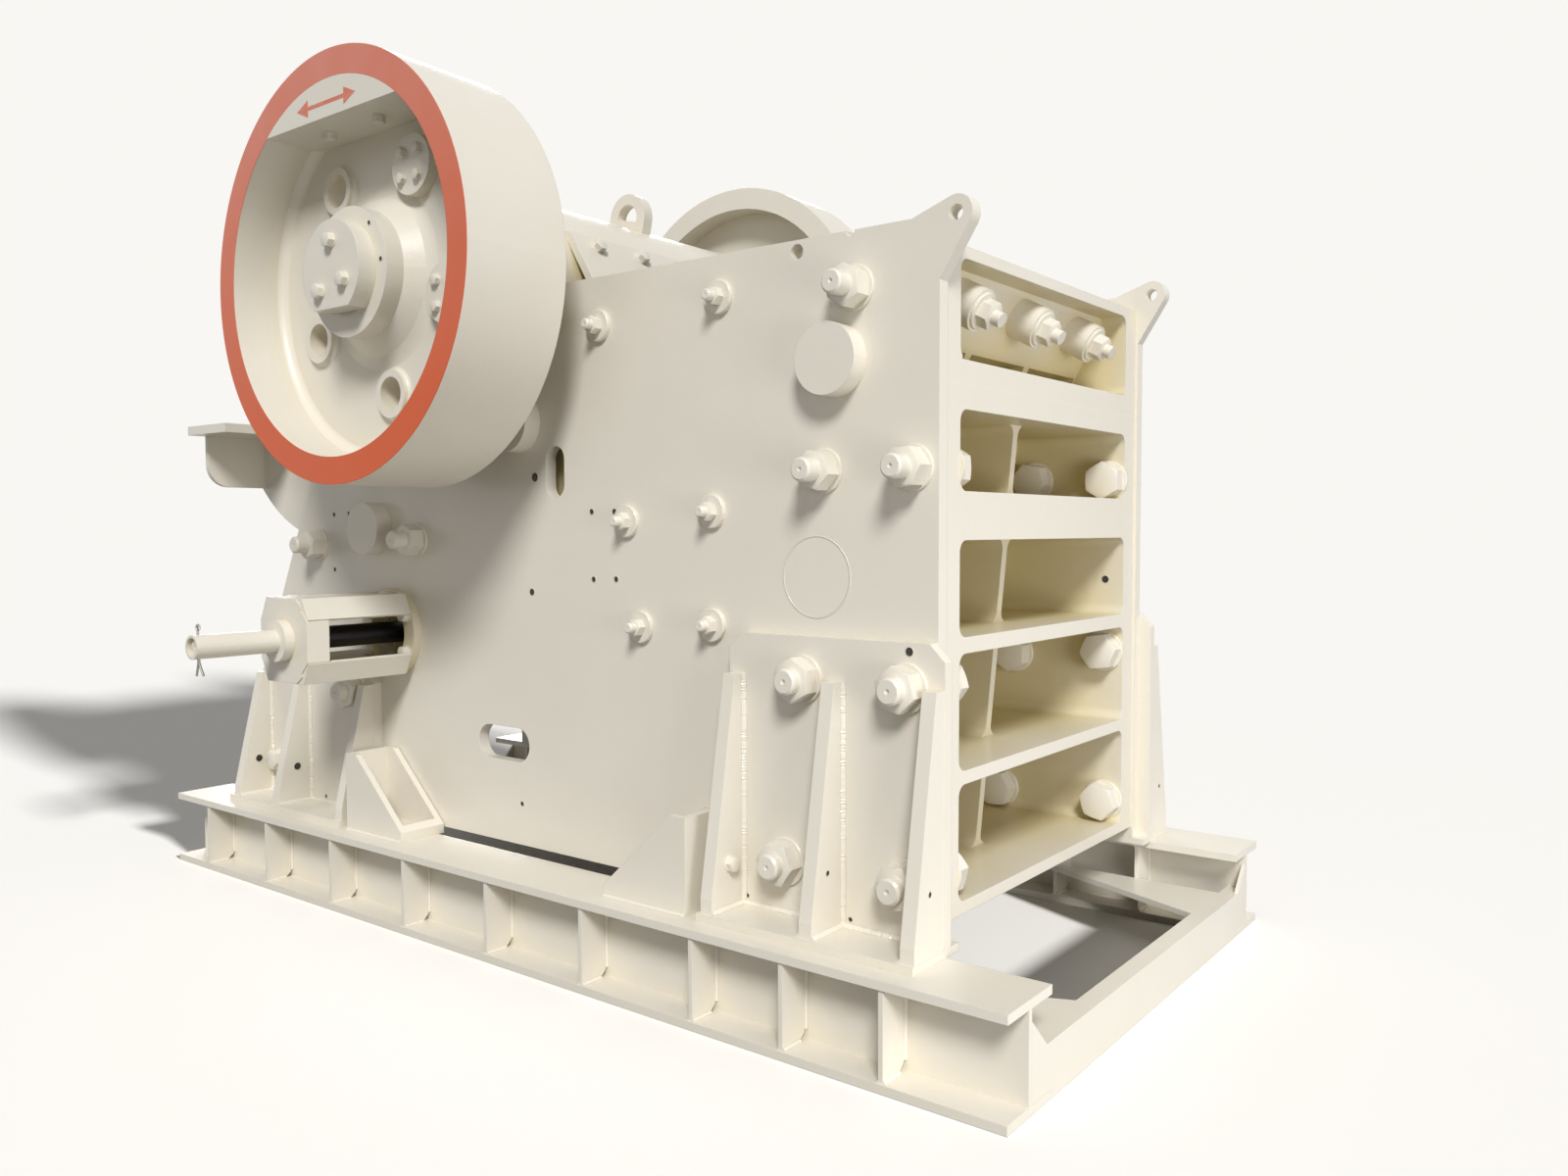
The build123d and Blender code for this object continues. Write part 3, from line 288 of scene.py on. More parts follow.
def turned_steel(name, tint, mark, roughness):
    """Machined steel under oil: fine tool marks round the work and darker oily patches."""
    material, tree = blank_material(name)
    where = add(tree, "TexCoord").outputs["Object"]
    # Tool marks of 0.3 mm feed are drawn far wider so that they show.
    marks = add(tree, "TexWave", {"Vector": where, "Scale": per_metre(mark) / WAVE_RATE, "Distortion": 1.5,
                                  "Detail": 2.0}, bands_direction="Y")
    oil = add(tree, "TexNoise", {"Vector": where, "Scale": per_metre(OIL_PATCH), "Detail": 4.0})
    dark = add(tree, "Mix", {"Factor": 0.55, "A": tint, "B": linear(OIL_FILM)}, data_type="RGBA")
    film = add(tree, "Mix", {"Factor": oil, "A": tint, "B": dark}, data_type="RGBA")
    bump = add(tree, "Bump", {"Height": marks.outputs["Fac"], "Strength": 0.2, "Distance": MARK_DEPTH * MM})
    shine = add(tree, "MapRange", {"Value": oil, "To Min": roughness - 0.08, "To Max": roughness + 0.12})
    steel = add(tree, "BsdfPrincipled", {"Base Color": film, "Metallic": 1.0, "Roughness": shine,
                                         "Normal": bump})
    add(tree, "OutputMaterial", {"Surface": steel})
    return material


def shaded_bore(paint):
    """Painted shade for a small drilled hole: a dark, rough disc that stands for the shade inside it."""
    material, tree = blank_material("painted_hole_shade")
    where = add(tree, "TexCoord").outputs["Object"]
    shade_speckle = add(tree, "TexNoise", {"Vector": where, "Scale": per_metre(SPECKLE), "Detail": 2.0})
    tint = add(tree, "Mix", {"Factor": shade_speckle, "A": paint.bore, "B": linear(SPECKLE_SHADE)}, data_type="RGBA")
    bore = add(tree, "BsdfPrincipled", {"Base Color": tint, "Roughness": 0.7})
    add(tree, "OutputMaterial", {"Surface": bore})


CAST_NODES = ("front_frame_end", "rear_frame_end", "bearing_housing", "pitman", "wedge_adjuster")


def paint_nodes(paint):
    """Makes every finish and gives the frame's nodes theirs."""
    # Occlusion mixes the dust colour into each finish's corners, real dust and painted shade; on the castings
    # it reaches furthest and strongest, painted shade in the deep windows.
    plate = gloss_enamel("gloss_enamel_on_plate", paint, peel=14, peel_depth=0.5, roughness=0.34,
                         corner=110, dust_and_shade=0.15)
    casting = gloss_enamel("gloss_enamel_on_casting", paint, peel=26, peel_depth=1.6, roughness=0.4,
                           corner=520, dust_and_shade=0.85)
    wheel = gloss_enamel("gloss_enamel_on_flywheel", paint, peel=22, peel_depth=0.9, roughness=0.36,
                         corner=200, dust_and_shade=0.3, on_wheel=True)
    bright = paint.bright_steel
    by_slot = {
        "manganese_steel": cast_metal("cast_manganese_steel", paint.manganese, bright, grit=9,
                                      roughness=0.45),
        "machined_steel": turned_steel("oiled_machined_steel", bright, mark=6, roughness=0.3),
        "grey_iron": cast_metal("cast_grey_iron", paint.iron, bright, grit=6, roughness=0.55),
        "spring_steel": turned_steel("oil_blacked_spring_steel", paint.spring, mark=8, roughness=0.38),
    }
    warning_paint(paint)
    shaded_bore(paint)
    for name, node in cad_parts.items():
        coat = plate
        if name.startswith("flywheel"):
            coat = wheel
        elif name.startswith(CAST_NODES) and name != "pitman_guard":
            coat = casting
        for slot in node.material_slots:
            # The adjuster rods take the spring's dark oil-blacked finish, painted shade for the dark inside
            # of the wedge box round them.
            kind = "spring_steel" if name == "adjuster_rods" else slot.material.name.split(".")[0]
            slot.material = by_slot.get(kind, coat)


def facing(point, normal, spin=0.0):
    """Matrix at a point with local Z along the normal, turned about it by spin degrees."""
    turn = Vector(normal).to_track_quat("Z", "Y").to_matrix().to_4x4()
    return Matrix.Translation(point) @ turn @ Matrix.Rotation(math.radians(spin), 4, "Z")


def rings_to_faces(mesh, rings):
    """Joins neighbouring rings of points with faces. A ring of one point closes an end."""
    for lower, upper in zip(rings, rings[1:]):
        steps = max(len(lower), len(upper))
        for k in range(steps):
            corners = (lower[k % len(lower)], lower[(k + 1) % len(lower)],
                       upper[(k + 1) % len(upper)], upper[k % len(upper)])
            mesh.faces.new(list(dict.fromkeys(corners)))


def whole_turn(steps):
    return [math.tau * k / steps for k in range(steps)]


def round_axis(mesh, place, radius, height, angle):
    """Corner of a mesh at an angle round the local Z of a place."""
    return mesh.verts.new(place @ Vector((radius * math.cos(angle), radius * math.sin(angle), height)))


def turn_profile(mesh, profile, place, steps=32):
    """Closed solid turned about a place's local Z, from (radius, height) points between two on the axis."""
    rings = []
    for radius, height in profile:
        angles = whole_turn(steps) if radius else (0,)
        rings.append([round_axis(mesh, place, radius, height, angle) for angle in angles])
    rings_to_faces(mesh, rings)


def turn_ring(mesh, profile, place, steps):
    """Closed ring turned about the local Z of a place, from a loop of (radius, height) points."""
    rings = [[round_axis(mesh, place, radius, height, angle) for radius, height in profile]
             for angle in whole_turn(steps)]
    rings_to_faces(mesh, rings + rings[:1])


def hollow(corner, leg_a, leg_b, steps=6):
    """Corner of two legs, then the points of a concave quarter curve from one leg's end to the other's."""
    corner, leg_a, leg_b = Vector(corner), Vector(leg_a), Vector(leg_b)
    turns = [math.pi / 2 * k / steps for k in range(steps + 1)]
    return [corner] + [corner + leg_a * (1 - math.sin(turn)) + leg_b * (1 - math.cos(turn)) for turn in turns]


# Shares of a nut or bolt, and sizes in millimetres
CHAMFER_START, CHAMFER_ANGLE = 0.96, 30
SOFT_EDGE = 2
END_CHAMFER, CENTRE_MARK = 0.18, 0.2
NUT_WASHER_R, NUT_WASHER_T = 0.63, 0.09
HEAD_WASHER_R, HEAD_WASHER_T = 0.62, 0.16
CHEEK_WASHER_T, CHEEK_NUT, CHEEK_STUD_END = 17, 0.55, 28


def hexagon(mesh, flats, height, place, steps=48):
    """Hexagon nut or head with the round chamfer that machining leaves on its free end."""
    half = flats / 2
    rim = half * CHAMFER_START
    slope = math.tan(math.radians(CHAMFER_ANGLE))
    rings = [[], [], []]
    for angle in whole_turn(steps):
        from_flat = (angle + math.pi / 6) % (math.pi / 3) - math.pi / 6
        radius = half / math.cos(from_flat)
        section = ((radius, 0), (radius, height - (radius - rim) * slope), (rim, height))
        for ring, point in zip(rings, section):
            ring.append(round_axis(mesh, place, *point, angle))
    base, crown = [[round_axis(mesh, place, 0, end, 0)] for end in (0, height)]
    rings_to_faces(mesh, [base, *rings, crown])


def washer(mesh, radius, thickness, place):
    """Round washer with a soft upper edge."""
    soft = min(SOFT_EDGE * MM, thickness / 3)
    edge = [(radius, 0), (radius, thickness - soft), (radius - soft, thickness)]
    turn_profile(mesh, [(0, 0)] + edge + [(0, thickness)], place)


def stud(mesh, radius, start, end, place):
    """Threaded end with a chamfer and a centre-drill mark."""
    chamfer, mark = radius * END_CHAMFER, radius * CENTRE_MARK
    turn_profile(mesh, [(0, start), (radius, start), (radius, end - chamfer), (radius - chamfer, end),
                        (mark, end), (0, end - mark)], place)


def along(place, height):
    """A place moved along its own Z."""
    return place @ Matrix.Translation((0, 0, height))


def heavy_nut(mesh, flats, height, stud_radius, stud_end, place):
    """Washer, heavy nut and the end of the bolt that stands out of it."""
    base = flats * NUT_WASHER_T
    washer(mesh, flats * NUT_WASHER_R, base, place)
    hexagon(mesh, flats, height, along(place, base))
    stud(mesh, stud_radius, base, base + height + stud_end, place)


def bolt_head(mesh, flats, height, place):
    """Hexagon head on a thin round washer face."""
    washer(mesh, flats * HEAD_WASHER_R, height * HEAD_WASHER_T, place)
    hexagon(mesh, flats, height, place)


def cheek_bolt(mesh, sizes, place):
    """Thick round washer, nut and stud that hold a cheek plate."""
    base = CHEEK_WASHER_T * MM
    nut = sizes.cheek_flats * CHEEK_NUT
    washer(mesh, sizes.cheek_washer, base, place)
    hexagon(mesh, sizes.cheek_flats, nut, along(place, base))
    stud(mesh, sizes.cheek_stud, base, base + nut + CHEEK_STUD_END * MM, place)


BEAD = ((1.0, 0.0), (0.8, 0.32), (0.58, 0.58), (0.32, 0.8), (0.0, 1.0))
BEAD_RIPPLE, BEAD_WANDER = (-0.03, 0.09), 0.06


def weld(mesh, start, end, along_a, along_b, sizes, seed, scale=1.0):
    """Fillet weld between two spots, along two faces: a rippled convex bead that wanders a little."""
    draw = random.Random(seed)
    start, end = spot(*start), spot(*end)
    along_a, along_b = Vector(along_a), Vector(along_b)
    steps = max(2, int((end - start).length / (sizes.weld_pitch / 2)))
    leg = sizes.weld_leg * scale
    rings = [[mesh.verts.new(start)]]
    for step in range(steps + 1):
        centre = start.lerp(end, step / steps)
        size = leg * (1 + BEAD_RIPPLE[step % 2] + draw.uniform(-BEAD_WANDER, BEAD_WANDER))
        ring = [centre] + [centre + along_a * size * a + along_b * size * b for a, b in BEAD]
        rings.append([mesh.verts.new(point) for point in ring])
    rings.append([mesh.verts.new(end)])
    rings_to_faces(mesh, rings)


def wire(mesh, points, radius, steps):
    """Round wire along a line of points."""
    rings = [[mesh.verts.new(points[0])]]
    last = len(points) - 1
    across = (points[1] - points[0]).orthogonal()
    for k, point in enumerate(points):
        ahead = (points[min(k + 1, last)] - points[max(k - 1, 0)]).normalized()
        across = (across - ahead * across.dot(ahead)).normalized()
        third = ahead.cross(across)
        rings.append([mesh.verts.new(point + (across * math.cos(angle) + third * math.sin(angle)) * radius)
                      for angle in whole_turn(steps)])
    rings.append([mesh.verts.new(points[last])])
    rings_to_faces(mesh, rings)


LIP, PAINT_SKIN = 2.5, 0.4


def drilled(rims, shade_discs, radius, place):
    """Drilled hole: a dark disc of painted shade just proud of the face in place of its inside, and the thin
    lip that the paint leaves round it.
    """
    mouth, lip, skin = radius * MM, LIP * MM, PAINT_SKIN * MM
    ring = [(mouth + lip, 0), (mouth + lip * 0.6, 3 * skin), (mouth, 3 * skin), (mouth, skin)]
    turn_profile(rims, [(0, 0)] + ring + [(0, skin)], place, 24)
    # Painted shade: the dark disc stands where the hole's inside would be.
    turn_profile(shade_discs, [(0, skin), (mouth, skin), (mouth * 0.96, 2 * skin), (0, 2 * skin)], place, 24)


SMOOTH_ANGLE = 34


def piece(name, mesh, body="frame", material="gloss_enamel_on_plate"):
    """Turns built geometry into an object that rides on a body."""
    bmesh.ops.recalc_face_normals(mesh, faces=mesh.faces)
    data = bpy.data.meshes.new(name)
    mesh.to_mesh(data)
    mesh.free()
    data.shade_smooth()
    data.set_sharp_from_angle(angle=math.radians(SMOOTH_ANGLE))
    data.materials.append(bpy.data.materials[material])
    made = bpy.data.objects.new(name, data)
    bpy.context.scene.collection.objects.link(made)
    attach(made, body)
    return made


class CrusherOperator:
    """What every operator of this file shares."""
    bl_options = {"REGISTER", "UNDO"}


class CRUSHER_OT_finishes(CrusherOperator, bpy.types.Operator):
    """Make the finishes and paint the frame's nodes with them"""
    bl_idname = "crusher.finishes"
    bl_label = "Finishes"

    def execute(self, context):
        paint_nodes(context.scene.crusher_paint)
        return {"FINISHED"}


# Degrees that each nut or head of a row is turned past the one before it
TIE_SPIN, CHEEK_SPIN, HEAD_SPIN, FOOT_SPIN, HOUSING_SPIN, CLAMP_SPIN = 17, 23, 19, 13, 40, 10
TIE_PLACES = ((-294, 2292), (-408, 1745), (-87, 1745), (-3203, 1501), (-2480, 1525))


class CRUSHER_OT_tie_bolts(CrusherOperator, bpy.types.Operator):
    """Heavy nuts and bolt ends that hold the side plates to the castings"""
    bl_idname = "crusher.tie_bolts"
    bl_label = "Tie bolts"

    def execute(self, context):
        sizes = context.scene.crusher_fasteners
        for word, side in SIDES:
            mesh = bmesh.new()
            for turn, (x, z) in enumerate(TIE_PLACES):
                heavy_nut(mesh, sizes.tie_flats, sizes.tie_nut, sizes.tie_stud, sizes.tie_end,
                          facing(on_side(x, z, side, PLATE_FACE), (0, side, 0), TIE_SPIN * turn))
            piece("tie_bolts_" + word, mesh)
        return {"FINISHED"}


CHEEK_PLACES = ((-1392, 2291), (-828, 2325), (-1259, 1594), (-862, 1624), (-1192, 1224), (-863, 1246))


class CRUSHER_OT_cheek_bolts(CrusherOperator, bpy.types.Operator):
    """Washers, nuts and studs of the cheek plates"""
    bl_idname = "crusher.cheek_bolts"
    bl_label = "Cheek bolts"

    def execute(self, context):
        sizes = context.scene.crusher_fasteners
        for word, side in SIDES:
            mesh = bmesh.new()
            for turn, (x, z) in enumerate(CHEEK_PLACES):
                point = spot(x, 0, z)
                # The far flywheel runs close to its side plate, so no bolt stands behind that rim.
                if side == FAR and (point - WHEEL_AXIS).length < WHEEL_R + sizes.cheek_washer:
                    continue
                point.y = side * PLATE_FACE
                cheek_bolt(mesh, sizes, facing(point, (0, side, 0), CHEEK_SPIN * turn))
            piece("cheek_bolts_" + word, mesh)
        return {"FINISHED"}


CASTING_WALL = 643
HEAD_PLACES = ((-76, 1749), (-381, 1752), (-86, 1090), (-462, 1062), (-82, 505), (-524, 500))


class CRUSHER_OT_casting_bolts(CrusherOperator, bpy.types.Operator):
    """Bolt heads on the inner side walls of the front casting's windows"""
    bl_idname = "crusher.casting_bolts"
    bl_label = "Casting bolt heads"

    def execute(self, context):
        sizes = context.scene.crusher_fasteners
        mesh = bmesh.new()
        for side in (NEAR, FAR):
            for turn, (x, z) in enumerate(HEAD_PLACES):
                place = facing(spot(x, side * CASTING_WALL, z), (0, -side, 0), HEAD_SPIN * turn)
                bolt_head(mesh, sizes.head_flats, sizes.head, place)
        piece("casting_bolt_heads", mesh)
        return {"FINISHED"}


FOOT_BOLTS = ((-462, 1098), (-87, 1098), (-530, 512), (-87, 515), (-2880, 868))
LONE_BOLT = (-3505, 497)
LONE_FLATS, LONE_HEAD, LONE_SPIN = 78.2, 50, 15
RIB_BOLT, RIB_SPIN = (-701, 896, 491), 20


class CRUSHER_OT_foot_bolts(CrusherOperator, bpy.types.Operator):
    """Nuts and bolt ends that hold the feet to the side plates"""
    bl_idname = "crusher.foot_bolts"
    bl_label = "Foot bolts"

    def execute(self, context):
        sizes = context.scene.crusher_fasteners
        for word, side in SIDES:
            mesh = bmesh.new()
            for turn, (x, z) in enumerate(FOOT_BOLTS):
                heavy_nut(mesh, sizes.foot_flats, sizes.foot_nut, sizes.foot_stud, sizes.foot_end,
                          facing(on_side(x, z, side, FOOT_FACE), (0, side, 0), FOOT_SPIN * turn))
            lone = facing(on_side(*LONE_BOLT, side, FOOT_FACE), (0, side, 0), LONE_SPIN)
            bolt_head(mesh, LONE_FLATS * MM, LONE_HEAD * MM, lone)
            x, y, z = RIB_BOLT
            rib = facing(spot(x, side * y, z), (1, 0, 0), RIB_SPIN)
            bolt_head(mesh, sizes.small_flats, sizes.small_head, rib)
            piece("foot_bolts_" + word, mesh)
        return {"FINISHED"}


ARROW_CENTRE = (-2107, 3058)
ARROW_HALF, ARROW_HEAD, ARROW_WING, ARROW_STEM, ARROW_COAT = 180, 70, 30, 7, 0.5
CHORD_BOLT_X, CHORD_BOLT_FLATS = 150, 39.1
CHORD_Z = 525
WEB_DROP = 210
BALANCE_ANGLES = (57, 346)
BALANCE_CIRCLE = 430
BALANCE_T = 40
BALANCE_BOLT_HALF = 45
BALANCE_BOLT_FLATS, BALANCE_BOLT_HEAD = 34.5, 18
BALANCE_SPIN = (31, 11)
CAP_BOLT_CIRCLE = 97
CAP_BOLT_ANGLES = (85, 229, 331)
HUB_HOLES = ((49, 203, 8), (6, 199, 8))
CAP_T = 70
RIM_INNER_R = 657
HUB_ROOT_R, HUB_R, HUB_HALF_RISE = 305, 230, 70
RIM_FILLET, HUB_FILLET = 46, 48
WEB_HOLE_ANGLES = (125, 206, 279)
LIP_R, LIP_RISE, LIP_FILLET = 88, 18.7, 26
SUNK = 2


def cast_fillets(mesh, middle, holes):
    """Soft cast corners of a flywheel: rim to web, web to hub and round the lips of the web holes."""
    def fillet(radius, leg_a, leg_b, place, steps):
        points = hollow((radius, -SUNK), leg_a, leg_b)
        turn_ring(mesh, [(r * MM, height * MM) for r, height in points], place, steps)

    fillet(RIM_INNER_R + SUNK, (0, RIM_FILLET), (-RIM_FILLET, 0), middle, 128)
    slope = Vector((HUB_R - HUB_ROOT_R, HUB_HALF_RISE)).normalized() * HUB_FILLET
    fillet(HUB_ROOT_R - SUNK, slope, (HUB_FILLET, 0), middle, 96)
    for place in holes:
        fillet(LIP_R - SUNK, (0, LIP_RISE), (LIP_FILLET, 0), place, 48)


def arrow(mesh, side):
    """Double-headed arrow, a coat of paint thick."""
    half, neck = ARROW_HALF, ARROW_HALF - ARROW_HEAD
    right = [(neck, ARROW_STEM), (neck, ARROW_WING), (half, 0), (neck, -ARROW_WING), (neck, -ARROW_STEM)]
    outline = right + [(-x, -z) for x, z in right]
    rings = []
    middle_x, middle_z = ARROW_CENTRE
    for coat in (0, ARROW_COAT * MM):
        face = RIM_FACE[side] + coat
        rings.append([mesh.verts.new(on_side(middle_x + x, middle_z + z, side, face)) for x, z in outline])
        mesh.faces.new(rings[-1])
    rings_to_faces(mesh, rings)


class CRUSHER_OT_flywheel_fittings(CrusherOperator, bpy.types.Operator):
    """Arrow, cast corners, drilled holes with discs of painted shade, and bolts of both flywheels"""
    bl_idname = "crusher.flywheel_fittings"
    bl_label = "Flywheel fittings"

    def execute(self, context):
        sizes = context.scene.crusher_fasteners
        for word, side in SIDES:
            mesh = bmesh.new()
            out = (0, side, 0)
            web = CAP_FACE[side] - WEB_DROP * MM

            def on_wheel(angle, circle, y):
                return WHEEL_AXIS + heading(angle) * circle * MM + Vector((0, side * y, 0))

            for x in (-CHORD_BOLT_X, CHORD_BOLT_X):
                under = WHEEL_AXIS + Vector((x * MM, side * (RIM_FACE[side] + web) / 2, CHORD_Z * MM))
                bolt_head(mesh, CHORD_BOLT_FLATS * MM, sizes.small_head, facing(under, (0, 0, -1), x))
            for angle in BALANCE_ANGLES:
                middle = on_wheel(angle, BALANCE_CIRCLE, web + BALANCE_T * MM)
                for dx in (-1, 1):
                    for dz in (-1, 1):
                        point = middle + Vector((dx, 0, dz)) * BALANCE_BOLT_HALF * MM
                        spin = BALANCE_SPIN[0] * dx + BALANCE_SPIN[1] * dz
                        place = facing(point, out, spin)
                        bolt_head(mesh, BALANCE_BOLT_FLATS * MM, BALANCE_BOLT_HEAD * MM, place)
            for angle in CAP_BOLT_ANGLES:
                bolt_head(mesh, sizes.small_flats, sizes.small_head,
                          facing(on_wheel(angle, CAP_BOLT_CIRCLE, CAP_FACE[side]), out, angle))
            fillets = bmesh.new()
            holes = [facing(on_wheel(angle, BALANCE_CIRCLE, web), out) for angle in WEB_HOLE_ANGLES]
            cast_fillets(fillets, facing(on_wheel(0, 0, web), out), holes)
            piece("flywheel_fillets_" + word, fillets, "rotor", "gloss_enamel_on_flywheel")
            shade_discs = bmesh.new()
            # The hub's holes are dark discs of painted shade on the hub's face.
            for angle, circle, radius in HUB_HOLES:
                point = on_wheel(angle, circle, CAP_FACE[side] - CAP_T * MM)
                drilled(mesh, shade_discs, radius, facing(point, out))
            piece("flywheel_bolts_" + word, mesh, "rotor")
            piece("hub_hole_shade_discs_" + word, shade_discs, "rotor", "painted_hole_shade")
            mesh = bmesh.new()
            arrow(mesh, side)
            piece("turning_arrow_" + word, mesh, "rotor", "warning_enamel")
        return {"FINISHED"}


HOUSING_FLANGE_FACE = 845
HOUSING_BOLT_CIRCLE = 376
HOUSING_BOLTS, HOUSING_HEAD = 12, 32


class CRUSHER_OT_housing_bolts(CrusherOperator, bpy.types.Operator):
    """Bolts round the flanges of the main bearing housings"""
    bl_idname = "crusher.housing_bolts"
    bl_label = "Housing bolts"

    def execute(self, context):
        sizes = context.scene.crusher_fasteners
        mesh = bmesh.new()
        for side in (NEAR, FAR):
            for k in range(HOUSING_BOLTS):
                point = WHEEL_AXIS + heading(360 * (k + 0.5) / HOUSING_BOLTS) * HOUSING_BOLT_CIRCLE * MM
                point.y = side * HOUSING_FLANGE_FACE * MM
                place = facing(point, (0, side, 0), HOUSING_SPIN * k)
                bolt_head(mesh, sizes.cheek_flats, HOUSING_HEAD * MM, place)
        piece("housing_bolts", mesh, material="gloss_enamel_on_casting")
        return {"FINISHED"}


CLAMP_SPACING = 435
CLAMP_BASE = (-141, 2292)
CLAMP_TILT = 28
CUP_LENGTH = 100
CLAMP_WASHER_R, CLAMP_WASHER_T = 59.85, 9
CLAMP_FLATS, CLAMP_NUT = 79.75, 42


class CRUSHER_OT_clamp_nuts(CrusherOperator, bpy.types.Operator):
    """Washers and nuts on the studs of the die clamps in the top window"""
    bl_idname = "crusher.clamp_nuts"
    bl_label = "Clamp nuts"

    def execute(self, context):
        mesh = bmesh.new()
        for step in (-1, 0, 1):
            base = spot(CLAMP_BASE[0], step * CLAMP_SPACING, CLAMP_BASE[1])
            rim = along(facing(base, heading(-CLAMP_TILT), CLAMP_SPIN * step), CUP_LENGTH * MM)
            washer(mesh, CLAMP_WASHER_R * MM, CLAMP_WASHER_T * MM, rim)
            hexagon(mesh, CLAMP_FLATS * MM, CLAMP_NUT * MM, along(rim, CLAMP_WASHER_T * MM))
        piece("clamp_nuts", mesh)
        return {"FINISHED"}


ADJUSTER_CENTRE = (-2645, 1135)
ADJUSTER_FLANGE_FACE = 823
ADJUSTER_BOLT_CIRCLE = 152
ADJUSTER_BOLT_ANGLES = (30, 90, 150, 210, 270, 330)
COVER_SECTION = ((80, 148), (80, 167), (128, 167), (167, 85), (153, 78))
COVER_SPAN = (823, 1286)


class CRUSHER_OT_adjuster_covers(CrusherOperator, bpy.types.Operator):
    """Bent cover plates that close the slopes between the adjusters' straps and their open sides"""
    bl_idname = "crusher.adjuster_covers"
    bl_label = "Adjuster covers"

    def execute(self, context):
        mesh = bmesh.new()
        middle_x, middle_z = ADJUSTER_CENTRE
        for side in (NEAR, FAR):
            for flip_x in (-1, 1):
                for flip_z in (-1, 1):
                    rings = []
                    for y in COVER_SPAN:
                        ring = [mesh.verts.new(spot(middle_x + flip_x * x, side * y, middle_z + flip_z * z))
                                for x, z in COVER_SECTION]
                        mesh.faces.new(ring)
                        rings.append(ring)
                    rings_to_faces(mesh, rings)
        piece("adjuster_covers", mesh)
        return {"FINISHED"}


ROD_END_R, ROD_END_DEPTH, ROD_END_LENGTH = 34.4, 14, 76
PIN_R, PIN_SIDES, PIN_INSET = 4.5, 10, 26
PIN_HEAD = ((0, 62), (9, 68), (9, 78), (0, 82), (-9, 78), (-9, 68), (-2, 60), (-2, 40))
PIN_LEGS = (((-2, -40), (-3, -60), (-10, -84), (-18, -108)), ((2, -40), (4, -58), (16, -80), (34, -104)))


class CRUSHER_OT_adjuster_pins(CrusherOperator, bpy.types.Operator):
    """Rod ends and split pins in the mouths of the adjuster tubes"""
    bl_idname = "crusher.adjuster_pins"
    bl_label = "Adjuster pins"

    def execute(self, context):
        ends, pins = bmesh.new(), bmesh.new()
        reach = outward("adjuster_tubes")
        for side in (NEAR, FAR):
            mouth = on_side(*ADJUSTER_CENTRE, side, reach[side])
            foot = along(facing(mouth, (0, side, 0)), -(ROD_END_DEPTH + ROD_END_LENGTH) * MM)
            stud(ends, ROD_END_R * MM, 0, ROD_END_LENGTH * MM, foot)
            pin = mouth - Vector((0, side * PIN_INSET * MM, 0))
            for line in (PIN_HEAD,) + PIN_LEGS:
                wire(pins, [pin + Vector((a, 0, b)) * MM for a, b in line], PIN_R * MM, PIN_SIDES)
        piece("adjuster_rod_ends", ends)
        piece("split_pins", pins, "frame", "oiled_machined_steel")
        return {"FINISHED"}


SPRING_TURNS = 8
SPRING_WIRE_R, SPRING_WIRE_SIDES = 15, 14
SPRING_STEPS = 30


class CRUSHER_OT_spring(CrusherOperator, bpy.types.Operator):
    """Wound compression spring on the tension rod, with a closed turn at each end"""
    bl_idname = "crusher.spring"
    bl_label = "Tension spring"

    def execute(self, context):
        low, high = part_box("tension_spring")
        axis = (low + high) / 2
        radius = SPRING_WIRE_R * MM
        mean = (high.z - low.z) / 2 - radius
        run = high.x - low.x - 2 * radius
        open_pitch = (run - 4 * radius) / (SPRING_TURNS - 2)
        points = []
        for step in range(SPRING_TURNS * SPRING_STEPS + 1):
            turns = step / SPRING_STEPS
            advance = (min(turns, 1) + max(turns - SPRING_TURNS + 1, 0)) * 2 * radius
            advance += min(max(turns - 1, 0), SPRING_TURNS - 2) * open_pitch
            turn = math.tau * turns
            points.append(Vector((low.x + radius + advance, axis.y + mean * math.cos(turn),
                                  axis.z + mean * math.sin(turn))))
        mesh = bmesh.new()
        wire(mesh, points, radius, SPRING_WIRE_SIDES)
        made = piece("wound_spring", mesh, "pitman", "oil_blacked_spring_steel")
        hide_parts("tension_spring")
        return {"FINISHED"}


class CRUSHER_OT_adjuster_bolts(CrusherOperator, bpy.types.Operator):
    """Bolts round the flanges of the wedge adjusters"""
    bl_idname = "crusher.adjuster_bolts"
    bl_label = "Adjuster bolts"

    def execute(self, context):
        sizes = context.scene.crusher_fasteners
        mesh = bmesh.new()
        for side in (NEAR, FAR):
            for angle in ADJUSTER_BOLT_ANGLES:
                middle = on_side(*ADJUSTER_CENTRE, side, ADJUSTER_FLANGE_FACE * MM)
                place = facing(middle + heading(angle) * ADJUSTER_BOLT_CIRCLE * MM, (0, side, 0), angle)
                bolt_head(mesh, sizes.small_flats, sizes.flange_head, place)
        piece("adjuster_bolts", mesh)
        return {"FINISHED"}


BARREL_AXIS = (-2098, 2462)
GUARD_OUT = 455
GUARD_ANGLE = 32
GUARD_BOLT_DROP = 55
GUARD_BOLTS_Y = (-508, -266, 266, 508)


